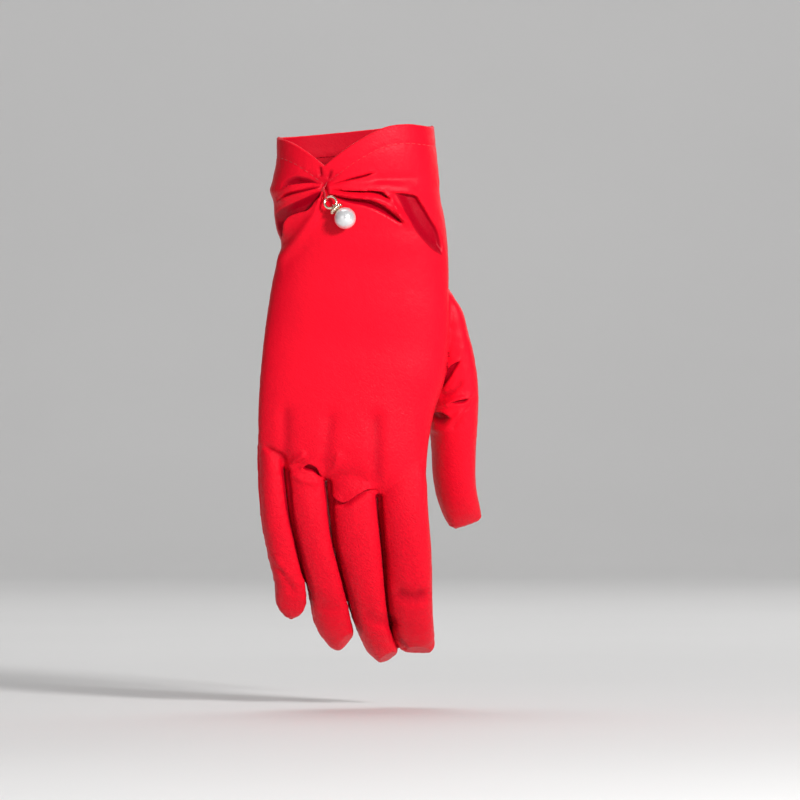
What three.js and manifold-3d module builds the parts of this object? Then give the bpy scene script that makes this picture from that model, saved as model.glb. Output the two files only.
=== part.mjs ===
// A wrist-length satin dress glove for the right hand, kept in the shape that it takes on a hand.
// The fingers point down, the back of the hand faces -Y and the thumb is on +X. Millimetres, +Z up.
// The origin is in the middle of the wrist, at the height of the gather in the cuff.
import * as THREE from "three";
import { mergeVertices } from "three/addons/utils/BufferGeometryUtils.js";
import Module from "manifold-3d";

const wasm = await Module();
wasm.setup();

// Cloth and seams
const CLOTH = 1.0;
const SEAM_GAP = 0.3;
const THUMB_SEAM_ALLOWANCE = 0.5;

// Hand and cuff
const HAND_LENGTH = 113; // from the gather down to the middle of the webs
const WRIST_WIDTH = 65.5;
const WRIST_DEPTH = 39;
const PALM_DEPTH = 27;
const CUFF_HEIGHT = 24; // from the gather up to the rim, in the middle
const CUFF_RISE = 6.6; // how much higher the rim is on the thumb side
const NOTCH_DEPTH = 13.2;
const HEM_HEIGHT = 8.5;
const HEM_CLOTH = 0.8;
const WEB_SLANT = 21; // how much lower the webs are on the index side

// Fingers
const LITTLE_WIDTH = 11.8;
const RING_FINGER_WIDTH = 15.1;
const MIDDLE_WIDTH = 17.4;
const INDEX_WIDTH = 19;
const LITTLE_LENGTH = 65;
const RING_FINGER_LENGTH = 76;
const MIDDLE_LENGTH = 77.5;
const INDEX_LENGTH = 65.5;
const FINGER_ROOM = 0.9; // between the middle and index fingers at their web
const FINGER_CURL = THREE.MathUtils.degToRad(48); // from the knuckles to the tip of the middle finger
const GUSSET_WIDTH = 7.5; // at the web

// Thumb
const THUMB_WIDTH = 16.8;
const THUMB_LENGTH = 92; // straight down from its root at the side of the hand

// Charm
const PEARL_DIAMETER = 8.2;
const PEARL_HOLE = 1.3;
const PEG_DIAMETER = 0.7;
const PEG_LENGTH = 3.2;
const JUMP_RING_DIAMETER = 5.6;
const JUMP_RING_WIRE = 0.8;
const EYE_DIAMETER = 2.4;
const EYE_WIRE = 0.5;
const RONDELLE_DIAMETER = 5.2;
const RONDELLE_THICKNESS = 0.9;
const THREAD = 0.5;
const KNOT_DIAMETER = 2.2;
const THREAD_DROP = 5.3; // from the knot down to the middle of the jump ring
const THREAD_TURN = THREE.MathUtils.degToRad(30); // away from straight down, towards the thumb
const CHARM_TURN = THREE.MathUtils.degToRad(43);
const CHARM_LIFT = THREE.MathUtils.degToRad(14); // how far the pearl stands out from the ring
const CHARM_REST = 0.4; // between the cloth and the knot and pearl that lie against it

// The fingers stand side by side, so their widths and the room between them set the width of the hand.
// lean: how far a tip lies towards the thumb, as a share of the length. room: share of FINGER_ROOM.
const FINGERS = [
  { name: "little", width: LITTLE_WIDTH, length: LITTLE_LENGTH, lean: 0.13, room: 0.65 },
  { name: "ring", width: RING_FINGER_WIDTH, length: RING_FINGER_LENGTH, lean: 0.146, room: 0.75 },
  { name: "middle", width: MIDDLE_WIDTH, length: MIDDLE_LENGTH, lean: 0.145, room: 1 },
  { name: "index", width: INDEX_WIDTH, length: INDEX_LENGTH, lean: 0.075, room: 0 },
];
const HAND_WIDTH = FINGERS.reduce((sum, f) => sum + f.width + f.room * FINGER_ROOM, 0);
const LITTLE_SIDE = 0.58; // share of HAND_WIDTH on the little finger's side of the wrist's middle
const KNUCKLE_DROP = 0.85 * HAND_LENGTH; // the bend of the fingers starts here
const BEND_RADIUS = (HAND_LENGTH - KNUCKLE_DROP + MIDDLE_LENGTH) / FINGER_CURL;

// Sections of the hand. at: share of the way from the gather up to the rim, or of HAND_LENGTH down, if
// negative. wrist: how far a row follows the wrist's sizes and not the palm's. left, right: shares of the
// width to each side of the middle. front, rear: shares of the depth before and behind the side seams.
const HAND_SECTIONS = [
  { at: 1.3, wrist: 1, left: 0.47, right: 0.455, front: 0.53, rear: 0.53 },
  { at: 1, wrist: 1, left: 0.47, right: 0.46, front: 0.53, rear: 0.53 },
  { at: 0.5, wrist: 1, left: 0.474, right: 0.48, front: 0.52, rear: 0.52 },
  { at: 0.12, wrist: 1, left: 0.5, right: 0.493, front: 0.5, rear: 0.5 },
  { at: 0, wrist: 1, left: 0.505, right: 0.494, front: 0.5, rear: 0.49 },
  { at: -0.03, wrist: 1, left: 0.489, right: 0.5, front: 0.49, rear: 0.48 },
  { at: -0.08, wrist: 1, left: 0.484, right: 0.518, front: 0.47, rear: 0.46 },
  { at: -0.125, wrist: 1, left: 0.472, right: 0.53, front: 0.45, rear: 0.44 },
  { at: -0.184, wrist: 1, left: 0.442, right: 0.54, front: 0.43, rear: 0.42 },
  { at: -0.225, wrist: 0.9, left: 0.458, right: 0.545, front: 0.42, rear: 0.42 },
  { at: -0.31, wrist: 0.6, left: 0.493, right: 0.547, front: 0.44, rear: 0.46 },
  { at: -0.4, wrist: 0.3, left: 0.518, right: 0.552, front: 0.47, rear: 0.51 },
  { at: -0.5, wrist: 0, left: 0.54, right: 0.548, front: 0.49, rear: 0.56 },
  { at: -0.6, wrist: 0, left: 0.557, right: 0.525, front: 0.48, rear: 0.56 },
  { at: -0.7, wrist: 0, left: 0.571, right: 0.465, front: 0.46, rear: 0.53 },
  { at: -0.8, wrist: 0, left: 0.579, right: 0.43, front: 0.43, rear: 0.49 },
  { at: -0.88, wrist: 0, left: 0.58, right: 0.418, front: 0.39, rear: 0.44 },
  { at: -0.95, wrist: 0, left: 0.575, right: 0.415, front: 0.32, rear: 0.35 },
  { at: -1, wrist: 0, left: 0.545, right: 0.4, front: 0.17, rear: 0.18 },
];
const BOXINESS = 2.3; // of every section: 2 is an ellipse, more has squarer corners
const FRONT_POINTS = 24;
const REAR_POINTS = 9;
// Heights of the rows of facets, as in HAND_SECTIONS: closest at the gather and at the webs.
const CUFF_ROWS = [1, 0.7, 0.42, 0.18];
const HAND_ROWS = [
  0, -0.028, -0.057, -0.087, -0.12, -0.155, -0.195, -0.25, -0.34, -0.47, -0.6, -0.73,
  -0.83, -0.91, -0.965, -1,
];
const OPEN_TOP = 1.25; // the hollow runs out through the rim

// The gather: its stitches pull the rim down into a notch and the cloth into folds that fan out from it.
const GATHER_AT = -0.188; // share of WRIST_WIDTH to the little finger's side
const GATHER_REACH = 0.1; // share of WRIST_WIDTH
const GATHER_DIP = 2.4;
const NOTCH_REACH = { left: 0.29, right: 0.41 }; // shares of WRIST_WIDTH
const FOLD_HEIGHT = 3.2;
// side: 1 towards the thumb. angle: degrees above level at the gather. turn: degrees gained on the way out.
// from, to, width: shares of WRIST_WIDTH. height: share of FOLD_HEIGHT, negative for a valley.
const GATHER_FOLDS = [
  { side: 1, angle: 22, turn: -5, from: 0.02, to: 0.5, height: -0.5, width: 0.07 },
  { side: 1, angle: 3, turn: -2, from: 0, to: 0.8, height: 0.75, width: 0.075 },
  { side: 1, angle: -9, turn: -22, from: 0.06, to: 1.05, height: -0.85, width: 0.075 },
  { side: 1, angle: -25, turn: -20, from: 0.02, to: 0.8, height: 0.4, width: 0.06 },
  { side: -1, angle: 22, turn: 2, from: 0.02, to: 0.45, height: -0.5, width: 0.065 },
  { side: -1, angle: 4, turn: -2, from: 0, to: 0.5, height: 0.6, width: 0.06 },
  { side: -1, angle: -16, turn: 1, from: 0.02, to: 0.48, height: -0.5, width: 0.055 },
  { side: -1, angle: -31, turn: 3, from: 0.02, to: 0.46, height: 0.4, width: 0.055 },
  { side: -1, angle: -52, turn: -12, from: 0.04, to: 0.66, height: -0.65, width: 0.09 },
];

// Sections of a finger. at: share of its length below its web, negative inside the hand.
// wide, deep: shares of its width.
const FINGER_SECTIONS = [
  { at: -0.3, wide: 0.7, deep: 0.66 },
  { at: -0.08, wide: 0.94, deep: 0.92 },
  { at: 0.08, wide: 1, deep: 0.97 },
  { at: 0.28, wide: 1, deep: 0.96 },
  { at: 0.48, wide: 0.97, deep: 0.93 },
  { at: 0.68, wide: 0.93, deep: 0.88 },
  { at: 0.84, wide: 0.88, deep: 0.78 },
  { at: 0.93, wide: 0.84, deep: 0.58 },
  { at: 0.98, wide: 0.75, deep: 0.38 },
  { at: 1, wide: 0.62, deep: 0.24 },
];
const FINGER_POINTS = 12;

// Sections of the gussets between the fingers. at: share of the finger's length. half: share of GUSSET_WIDTH.
const GUSSET_SECTIONS = [
  { at: -0.13, half: 0.5 },
  { at: 0.03, half: 0.5 },
  { at: 0.25, half: 0.42 },
  { at: 0.5, half: 0.31 },
  { at: 0.72, half: 0.19 },
  { at: 0.9, half: 0.08 },
];

// Sections of the thumb. down: share of THUMB_LENGTH. out: share of HAND_WIDTH from the wrist's middle.
// behind: share of PALM_DEPTH behind the side seams. wide, deep: shares of THUMB_WIDTH.
const THUMB_SECTIONS = [
  { down: 0, out: 0.475, behind: 0.18, wide: 0.46, deep: 0.5 },
  { down: 0.06, out: 0.506, behind: 0.24, wide: 0.62, deep: 0.7 },
  { down: 0.105, out: 0.527, behind: 0.28, wide: 0.76, deep: 0.84 },
  { down: 0.185, out: 0.539, behind: 0.34, wide: 0.91, deep: 1 },
  { down: 0.3, out: 0.555, behind: 0.42, wide: 1.05, deep: 1.14 },
  { down: 0.42, out: 0.565, behind: 0.5, wide: 1.11, deep: 1.2 },
  { down: 0.55, out: 0.568, behind: 0.58, wide: 1.08, deep: 1.14 },
  { down: 0.69, out: 0.576, behind: 0.68, wide: 1.01, deep: 1.02 },
  { down: 0.82, out: 0.582, behind: 0.8, wide: 0.97, deep: 0.94 },
  { down: 0.9, out: 0.603, behind: 0.9, wide: 0.93, deep: 0.82 },
  { down: 0.96, out: 0.632, behind: 0.99, wide: 0.86, deep: 0.56 },
  { down: 0.987, out: 0.65, behind: 1.03, wide: 0.78, deep: 0.36 },
  { down: 1, out: 0.658, behind: 1.05, wide: 0.68, deep: 0.24 },
];
const THUMB_ROOT = 0.32 * HAND_LENGTH;
const THUMB_POINTS = 12;

const RED_SATIN = { color: 0xe3142f, roughness: 0.42, metalness: 0 };
const RED_LINING = { color: 0xb80f26, roughness: 0.8, metalness: 0 };
const RED_THREAD = { color: 0xc01028, roughness: 0.7, metalness: 0 };
const PALE_GOLD = { color: 0xd9c08c, roughness: 0.25, metalness: 1 };
const WHITE_PEARL = { color: 0xe9e6e1, roughness: 0.22, metalness: 0 };

const mix = THREE.MathUtils.lerp;
const smooth = THREE.MathUtils.smoothstep;
const degrees = THREE.MathUtils.degToRad;

// A row between a table's rows, on a smooth curve through each column.
function between(table, key, value) {
  const rising = table[1][key] > table[0][key];
  const found = table.findIndex((row) => (rising ? row[key] >= value : row[key] <= value));
  const upper = found < 0 ? table.length - 1 : Math.max(found, 1);
  const span = table[upper][key] - table[upper - 1][key];
  const t = (value - table[upper - 1][key]) / span;
  const row = {};
  for (const column of Object.keys(table[0])) {
    const slope = (i) => {
      const a = table[Math.max(i - 1, 0)];
      const b = table[Math.min(i + 1, table.length - 1)];
      return ((b[column] - a[column]) / (b[key] - a[key])) * span;
    };
    const start = table[upper - 1][column];
    const end = table[upper][column];
    const ease = t * t * (3 - 2 * t);
    row[column] = mix(start, end, ease) + t * (1 - t) * ((1 - t) * slope(upper - 1) - t * slope(upper));
  }
  return row;
}

// Solids from points and triangles

function solidOf(positions, faces) {
  const make = (triVerts) =>
    new wasm.Manifold(
      new wasm.Mesh({
        numProp: 3,
        vertProperties: new Float32Array(positions),
        triVerts: new Uint32Array(triVerts),
      }),
    );
  const solid = make(faces);
  if (solid.volume() > 0) return solid;
  const turned = [];
  for (let i = 0; i < faces.length; i += 3) turned.push(faces[i], faces[i + 2], faces[i + 1]);
  return make(turned);
}

function solidOfGeometry(geometry) {
  geometry.deleteAttribute("normal");
  geometry.deleteAttribute("uv");
  const merged = mergeVertices(geometry, 1e-3);
  const index = merged.index.array;
  const faces = [];
  for (let i = 0; i < index.length; i += 3) {
    const [a, b, c] = index.slice(i, i + 3);
    if (a !== b && b !== c && c !== a) faces.push(a, b, c);
  }
  return solidOf(merged.attributes.position.array, faces);
}

function geometryOf(solid) {
  const mesh = solid.getMesh();
  const geometry = new THREE.BufferGeometry();
  geometry.setAttribute("position", new THREE.BufferAttribute(new Float32Array(mesh.vertProperties), 3));
  geometry.setIndex(new THREE.BufferAttribute(new Uint32Array(mesh.triVerts), 1));
  geometry.computeVertexNormals();
  return geometry;
}

// A closed surface through sections of equally many points, with a cap on each end.
function loft(sections) {
  const count = sections[0].length;
  const points = sections.flat();
  const faces = [];
  for (let i = 0; i < sections.length - 1; i++) {
    for (let j = 0; j < count; j++) {
      const k = (j + 1) % count;
      const [a, b, c, d] = [i * count + j, (i + 1) * count + j, i * count + k, (i + 1) * count + k];
      faces.push(a, b, c, c, b, d);
    }
  }
  for (const first of [0, (sections.length - 1) * count]) {
    const middle = new THREE.Vector3();
    for (const p of points.slice(first, first + count)) middle.addScaledVector(p, 1 / count);
    points.push(middle);
    for (let j = 0; j < count; j++) {
      const [a, b] = [first + j, first + ((j + 1) % count)];
      faces.push(...(first === 0 ? [a, b] : [b, a]), points.length - 1);
    }
  }
  return solidOf(points.flatMap((p) => p.toArray()), faces);
}

function join(solids) {
  return solids.reduce((a, b) => a.add(b));
}

// How deep a box-cornered oval is at a share of its half width, as a share of its half depth.
function ovalDepth(across) {
  return (1 - Math.min(Math.abs(across), 1) ** BOXINESS) ** (1 / BOXINESS);
}

// A piece of cloth without the specks that cutting leaves at its edges.
function trimmed(solid) {
  return solid.decompose().reduce((a, b) => (a.volume() > b.volume() ? a : b));
}

// A point of such an oval.
function ovalPoint(turn, halfWidth, halfDepth) {
  const power = (v) => Math.sign(v) * Math.abs(v) ** (2 / BOXINESS);
  return new THREE.Vector2(halfWidth * power(Math.cos(turn)), halfDepth * power(Math.sin(turn)));
}

// A tube of ovals square to a path. rows: { middle, wide, deep }. inset: how far inside its outer face.
function tube(rows, points, inset) {
  return loft(
    rows.map(({ middle, wide, deep }, i) => {
      const next = rows[Math.min(i + 1, rows.length - 1)].middle;
      const along = next.clone().sub(rows[Math.max(i - 1, 0)].middle).normalize();
      const across = new THREE.Vector3(1, 0, 0).addScaledVector(along, -along.x).normalize();
      const through = along.clone().cross(across);
      const halfWidth = wide / 2 - inset;
      const halfDepth = Math.max(deep / 2 - inset, CLOTH / 2);
      const back = i === rows.length - 1 ? -inset : 0; // the tip is a cloth thick too
      return Array.from({ length: points }, (_, j) => {
        const p = ovalPoint((2 * Math.PI * j) / points, halfWidth, halfDepth);
        const from = middle.clone().addScaledVector(along, back);
        return from.addScaledVector(across, p.x).addScaledVector(through, p.y);
      });
    }),
  );
}

// The bend of the fingers: straight down to the knuckles, then an arc towards the palm

// How far back the side seams lie at a height. off: distance from them, on the palm's side.
function seamDepth(z, off = 0) {
  const radius = BEND_RADIUS - off;
  const below = THREE.MathUtils.clamp(-z - KNUCKLE_DROP, 0, 0.97 * radius);
  return BEND_RADIUS - Math.sqrt(radius ** 2 - below ** 2);
}

// A place on the arc, from the length along it below the knuckles. off: as above.
function bendPoint(x, along, off = 0) {
  const angle = Math.max(along, 0) / BEND_RADIUS;
  const radius = BEND_RADIUS - off;
  const above = Math.max(-along, 0);
  return new THREE.Vector3(
    x,
    BEND_RADIUS - radius * Math.cos(angle),
    above - KNUCKLE_DROP - radius * Math.sin(angle),
  );
}

// Hand and cuff

function rimHeight(x, frontness) {
  const away = x / WRIST_WIDTH - GATHER_AT;
  const share = Math.abs(away) / (away < 0 ? NOTCH_REACH.left : NOTCH_REACH.right);
  const notch = NOTCH_DEPTH * Math.max(0, 1 - share) ** 1.5 * smooth(frontness, 0, 0.4);
  return CUFF_HEIGHT + (CUFF_RISE * x) / WRIST_WIDTH - notch;
}

// How far the folds lift the cloth on the front of the hand.
function foldLift(x, z) {
  const across = x / WRIST_WIDTH - GATHER_AT;
  const up = z / WRIST_WIDTH;
  const r = Math.hypot(across, up);
  let lift = -GATHER_DIP * Math.exp(-((r / GATHER_REACH) ** 2));
  for (const fold of GATHER_FOLDS) {
    const along = (r - fold.from) / (fold.to - fold.from);
    if (across * fold.side <= 0 || along <= 0 || along >= 1) continue;
    const off = Math.atan2(up, across * fold.side) - degrees(fold.angle + fold.turn * along);
    const width = fold.width * mix(0.45, 1, smooth(along, 0, 0.6));
    const fade = smooth(along, 0, 0.2) * (1 - smooth(along, 0.6, 1));
    lift += FOLD_HEIGHT * fold.height * fade * Math.exp(-(((off * r) / width) ** 2));
  }
  return lift;
}

function handSection(at) {
  const row = between(HAND_SECTIONS, "at", at);
  const width = mix(HAND_WIDTH, WRIST_WIDTH, row.wrist);
  const depth = mix(PALM_DEPTH, WRIST_DEPTH, row.wrist);
  return {
    middle: (width * (row.right - row.left)) / 2,
    halfWidth: (width * (row.right + row.left)) / 2,
    front: depth * row.front,
    rear: depth * row.rear,
  };
}

// Places around a section, anticlockwise from the little finger's side seam: across is a share of the half
// width, through a share of the half depth, negative in front.
function placesAround() {
  const spread = (count) =>
    Array.from({ length: count }, (_, i) => {
      const even = (2 * i) / count - 1;
      return mix(even, Math.sin((even * Math.PI) / 2), 0.55);
    });
  return [
    ...spread(FRONT_POINTS).map((across) => ({ across, through: -ovalDepth(across) })),
    ...spread(REAR_POINTS).map((across) => ({ across: -across, through: ovalDepth(across) })),
  ];
}
const AROUND = placesAround();

// A point of the hand. at: as in HAND_SECTIONS. inset: how far inside the outer face of the cloth.
function handPoint(at, { across, through }, inset) {
  const section = handSection(at);
  const off = across * (section.halfWidth - inset);
  const depth = through * ((through < 0 ? section.front : section.rear) - inset);
  const x = section.middle + off;
  const raised = inset * Math.max(0, -at) ** 8; // the closed end is a cloth thick too
  const slant = (WEB_SLANT * at * at * off) / HAND_WIDTH;
  const z = at > 0 ? at * rimHeight(x, -through) : at * HAND_LENGTH + raised - slant;
  const lift = foldLift(x, z) * smooth(-through, 0.1, 0.6);
  return new THREE.Vector3(x, seamDepth(z) + depth - lift, z);
}

function handSolid(inset, top = 1) {
  const rows = [...(top > 1 ? [top] : []), ...CUFF_ROWS, ...HAND_ROWS];
  return loft(rows.map((at) => AROUND.map((place) => handPoint(at, place, inset))));
}

// The hem: the rim's cloth turned inwards, as a band inside the cuff.
function hemSolid() {
  const outside = CLOTH + SEAM_GAP;
  const layer = handSolid(outside, OPEN_TOP).subtract(handSolid(outside + HEM_CLOTH, OPEN_TOP));
  const band = [0.994, 0.5, 0].map((share) =>
    AROUND.map((place) => {
      const rim = handPoint(1, place, outside).z;
      const low = Math.max(1 - HEM_HEIGHT / rim, 0.02);
      return handPoint(mix(low, 1, share), place, -CLOTH);
    }),
  );
  return layer.intersect(loft(band));
}

// Fingers and thumb

const placedFingers = [];
for (const finger of FINGERS) {
  const before = placedFingers.at(-1);
  const edge = before ? before.x + before.width / 2 + before.room * FINGER_ROOM : -LITTLE_SIDE * HAND_WIDTH;
  const x = edge + finger.width / 2;
  const share = x / HAND_WIDTH + LITTLE_SIDE - 0.5;
  placedFingers.push({ ...finger, x, web: HAND_LENGTH + WEB_SLANT * share - KNUCKLE_DROP });
}

function fingerPoint(finger, at, off = 0) {
  const lean = finger.lean * finger.length * Math.max(0, at) ** 1.5;
  return bendPoint(finger.x + lean, finger.web + at * finger.length, off);
}

function fingerSolid(finger, inset) {
  const rows = FINGER_SECTIONS.map(({ at, wide, deep }) => ({
    middle: fingerPoint(finger, at),
    wide: finger.width * wide,
    deep: finger.width * deep,
  }));
  return tube(rows, FINGER_POINTS, inset);
}

function thumbSolid(inset) {
  const rows = THUMB_SECTIONS.map(({ down, out, behind, wide, deep }) => ({
    middle: new THREE.Vector3(out * HAND_WIDTH, behind * PALM_DEPTH, -THUMB_ROOT - down * THUMB_LENGTH),
    wide: THUMB_WIDTH * wide,
    deep: THUMB_WIDTH * deep,
  }));
  return tube(rows, THUMB_POINTS, inset);
}

// Cutting the whole glove into its pieces of cloth

const LOWEST = Math.max(...placedFingers.map((f) => -fingerPoint(f, 1).z)) + MIDDLE_WIDTH;
const FAR = LOWEST + HAND_WIDTH; // past the glove on every side

// Everything between two depths that are functions of the height.
function layer(near, far) {
  const heights = [FAR, 0];
  for (let i = 0; i <= 12; i++) heights.push(-mix(KNUCKLE_DROP, LOWEST, i / 12));
  return loft(
    heights.map((z) => [
      new THREE.Vector3(-FAR, near(z), z),
      new THREE.Vector3(FAR, near(z), z),
      new THREE.Vector3(FAR, far(z), z),
      new THREE.Vector3(-FAR, far(z), z),
    ]),
  );
}

// The room of a gusset on one side of a finger, wider by grow on each long edge.
function gussetRoom(finger, side, grow) {
  return loft(
    GUSSET_SECTIONS.map(({ at, half }) => {
      const off = half * GUSSET_WIDTH + grow;
      const reach = new THREE.Vector3(side * (finger.width / 2 + 0.8 * FINGER_ROOM), 0, 0);
      const [front, rear] = [-off, off].map((o) => fingerPoint(finger, at, o));
      return [front, front.clone().add(reach), rear.clone().add(reach), rear];
    }),
  );
}

const outer = join([handSolid(0), thumbSolid(0), ...placedFingers.map((f) => fingerSolid(f, 0))]);
const hollow = join([
  handSolid(CLOTH, OPEN_TOP),
  thumbSolid(CLOTH),
  ...placedFingers.map((f) => fingerSolid(f, CLOTH)),
]);
const cloth = outer.subtract(hollow);
const thumbPiece = cloth.intersect(thumbSolid(-THUMB_SEAM_ALLOWANCE));
const hand = cloth.subtract(thumbSolid(-THUMB_SEAM_ALLOWANCE - SEAM_GAP));
const gussets = placedFingers.slice(0, -1).map((finger, i) => {
  const next = placedFingers[i + 1];
  const room = (grow) => gussetRoom(finger, 1, grow).add(gussetRoom(next, -1, grow));
  return { name: `gusset_${finger.name}_${next.name}`, solid: hand.intersect(room(0)), cut: room(SEAM_GAP) };
});
const panels = gussets.reduce((solid, gusset) => solid.subtract(gusset.cut), hand);
const backHalf = layer(() => -FAR, (z) => seamDepth(z, -SEAM_GAP / 2));
const palmHalf = layer((z) => seamDepth(z, SEAM_GAP / 2), () => FAR);

// The charm, in its own frame: the middle of the jump ring at the origin and the pearl below it

const ringReach = (JUMP_RING_DIAMETER - JUMP_RING_WIRE) / 2;
const rondelleTop = -ringReach - EYE_DIAMETER / 2 + EYE_WIRE;
const rondelleBottom = rondelleTop - RONDELLE_THICKNESS;
const pearlRadius = PEARL_DIAMETER / 2;
const neckRadius = PEARL_HOLE / 2 + THREAD / 2;
const pearlMiddle = rondelleBottom - 1.4 * SEAM_GAP - pearlRadius;

function ringOf(diameter, wire, sides, steps) {
  return new THREE.TorusGeometry((diameter - wire) / 2, wire / 2, sides, steps);
}

function capSolid() {
  const rim = RONDELLE_DIAMETER / 2;
  const profile = [
    [0, rondelleTop],
    [rim * 0.5, rondelleTop],
    [rim * 0.9, rondelleTop - RONDELLE_THICKNESS * 0.12],
    [rim, rondelleTop - RONDELLE_THICKNESS * 0.5],
    [rim * 0.9, rondelleTop - RONDELLE_THICKNESS * 0.88],
    [neckRadius, rondelleBottom],
    [PEG_DIAMETER / 2, rondelleBottom - 0.6 * SEAM_GAP],
    [PEG_DIAMETER / 2, pearlMiddle + pearlRadius - PEG_LENGTH],
    [0, pearlMiddle + pearlRadius - PEG_LENGTH],
  ].map(([r, z]) => new THREE.Vector2(r, z));
  const body = new THREE.LatheGeometry(profile, 14).rotateX(Math.PI / 2);
  const eye = ringOf(EYE_DIAMETER, EYE_WIRE, 5, 12).rotateY(Math.PI / 2).translate(0, 0, -ringReach);
  return solidOfGeometry(body).add(solidOfGeometry(eye));
}

function pearlSolid() {
  const holeRadius = PEARL_HOLE / 2;
  const holeBottom = pearlRadius - PEG_LENGTH - SEAM_GAP;
  const first = Math.asin(holeRadius / pearlRadius);
  const profile = [new THREE.Vector2(0, holeBottom), new THREE.Vector2(holeRadius, holeBottom)];
  for (let i = 0; i <= 9; i++) {
    const angle = mix(first, Math.PI, i / 9);
    profile.push(new THREE.Vector2(pearlRadius * Math.sin(angle), pearlRadius * Math.cos(angle)));
  }
  profile.at(-1).x = 0;
  const geometry = new THREE.LatheGeometry(profile, 16).rotateX(Math.PI / 2);
  return solidOfGeometry(geometry.translate(0, 0, pearlMiddle));
}

// The outer face of the cloth on the front of the hand.
const handFace = new THREE.Mesh(geometryOf(handSolid(0)));
const look = new THREE.Raycaster();
function clothDepth(x, z) {
  look.set(new THREE.Vector3(x, -FAR, z), new THREE.Vector3(0, 1, 0));
  return look.intersectObject(handFace)[0].point.y;
}

// Where the middle of a ball is that lies against the front of the cloth.
function restDepth(middle, radius, clearance) {
  const touching = [];
  for (let i = 0; i < 12; i++) {
    for (const share of [0, 0.35, 0.7, 0.95]) {
      const turn = (i * Math.PI) / 6;
      const x = middle.x + share * radius * Math.sin(turn);
      const z = middle.z + share * radius * Math.cos(turn);
      touching.push(clothDepth(x, z) - radius * Math.sqrt(1 - share ** 2));
    }
  }
  return Math.min(...touching) - clearance;
}

const knot = new THREE.Vector3(GATHER_AT * WRIST_WIDTH, 0, 0);
knot.y = restDepth(knot, KNOT_DIAMETER / 2, CHARM_REST);
const charmTilt = new THREE.Euler(-CHARM_LIFT, -CHARM_TURN, 0, "YXZ");
const charmMiddle = new THREE.Vector3(
  knot.x + THREAD_DROP * Math.sin(THREAD_TURN),
  0,
  knot.z - THREAD_DROP * Math.cos(THREAD_TURN),
);
const pearlAt = new THREE.Vector3(0, 0, pearlMiddle).applyEuler(charmTilt).add(charmMiddle);
charmMiddle.y = restDepth(pearlAt, pearlRadius, CHARM_REST) - pearlAt.y;

// A knot, and a loop of thread from it through the jump ring.
function threadSolid() {
  const place = (x, y, z) => new THREE.Vector3(x, y, z).applyEuler(charmTilt).add(charmMiddle);
  const clear = JUMP_RING_WIRE / 2 + SEAM_GAP + THREAD / 2;
  const top = ringReach;
  const inward = charmMiddle.clone().sub(knot).normalize();
  const points = [
    knot.clone(),
    place(0, -clear, top + clear * 0.6),
    place(0, -clear * 0.9, top - clear * 0.4),
    place(0, 0, top - clear),
    place(0, clear * 0.9, top - clear * 0.4),
    place(0, clear, top + clear * 0.6),
  ];
  points[0].addScaledVector(inward, -KNOT_DIAMETER * 0.1);
  const path = new THREE.CatmullRomCurve3(points, true, "centripetal");
  const steps = 20;
  const frames = path.computeFrenetFrames(steps, true);
  const sides = 6;
  const positions = [];
  const faces = [];
  for (let i = 0; i < steps; i++) {
    const middle = path.getPointAt(i / steps);
    for (let j = 0; j < sides; j++) {
      const turn = (2 * Math.PI * j) / sides;
      const p = middle
        .clone()
        .addScaledVector(frames.normals[i], (Math.cos(turn) * THREAD) / 2)
        .addScaledVector(frames.binormals[i], (Math.sin(turn) * THREAD) / 2);
      positions.push(...p.toArray());
      const [a, b] = [i * sides + j, i * sides + ((j + 1) % sides)];
      const [c, d] = [a, b].map((v) => (v + sides) % (steps * sides));
      faces.push(a, c, b, b, c, d);
    }
  }
  const ball = new THREE.SphereGeometry(KNOT_DIAMETER / 2, 10, 6).translate(...knot.toArray());
  return solidOf(positions, faces).add(solidOfGeometry(ball));
}

// The model

const glove = new THREE.Group();

function addPiece(name, solid, finish, parent = glove) {
  const piece = new THREE.Mesh(geometryOf(solid), new THREE.MeshStandardMaterial(finish));
  piece.name = name;
  parent.add(piece);
}

addPiece("back_panel", trimmed(panels.intersect(backHalf)), RED_SATIN);
addPiece("palm_panel", trimmed(panels.intersect(palmHalf)), RED_SATIN);
addPiece("thumb", trimmed(thumbPiece), RED_SATIN);
for (const gusset of gussets) addPiece(gusset.name, trimmed(gusset.solid), RED_SATIN);
addPiece("cuff_hem", hemSolid(), RED_LINING);
addPiece("charm_thread", threadSolid(), RED_THREAD);

const charm = new THREE.Group();
charm.position.copy(charmMiddle);
charm.rotation.copy(charmTilt);
glove.add(charm);
const jumpRing = ringOf(JUMP_RING_DIAMETER, JUMP_RING_WIRE, 6, 24).rotateX(Math.PI / 2);
addPiece("jump_ring", solidOfGeometry(jumpRing), PALE_GOLD, charm);
addPiece("pearl_cap", capSolid(), PALE_GOLD, charm);
addPiece("pearl", pearlSolid(), WHITE_PEARL, charm);

export default glove;
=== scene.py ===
"""Builds a wrist-length satin dress glove for the right hand, with a gathered cuff and a pearl charm.

The cloth is shaped in millimetres with the back of the hand facing -Y, the thumb on +X and the fingers
pointing down, and is turned into metres when an object is made. The origin is in the middle of the wrist.
"""
from __future__ import annotations

import logging
import math
from dataclasses import dataclass
from enum import Enum

import bpy
import numpy as np
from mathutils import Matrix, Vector, noise

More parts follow.
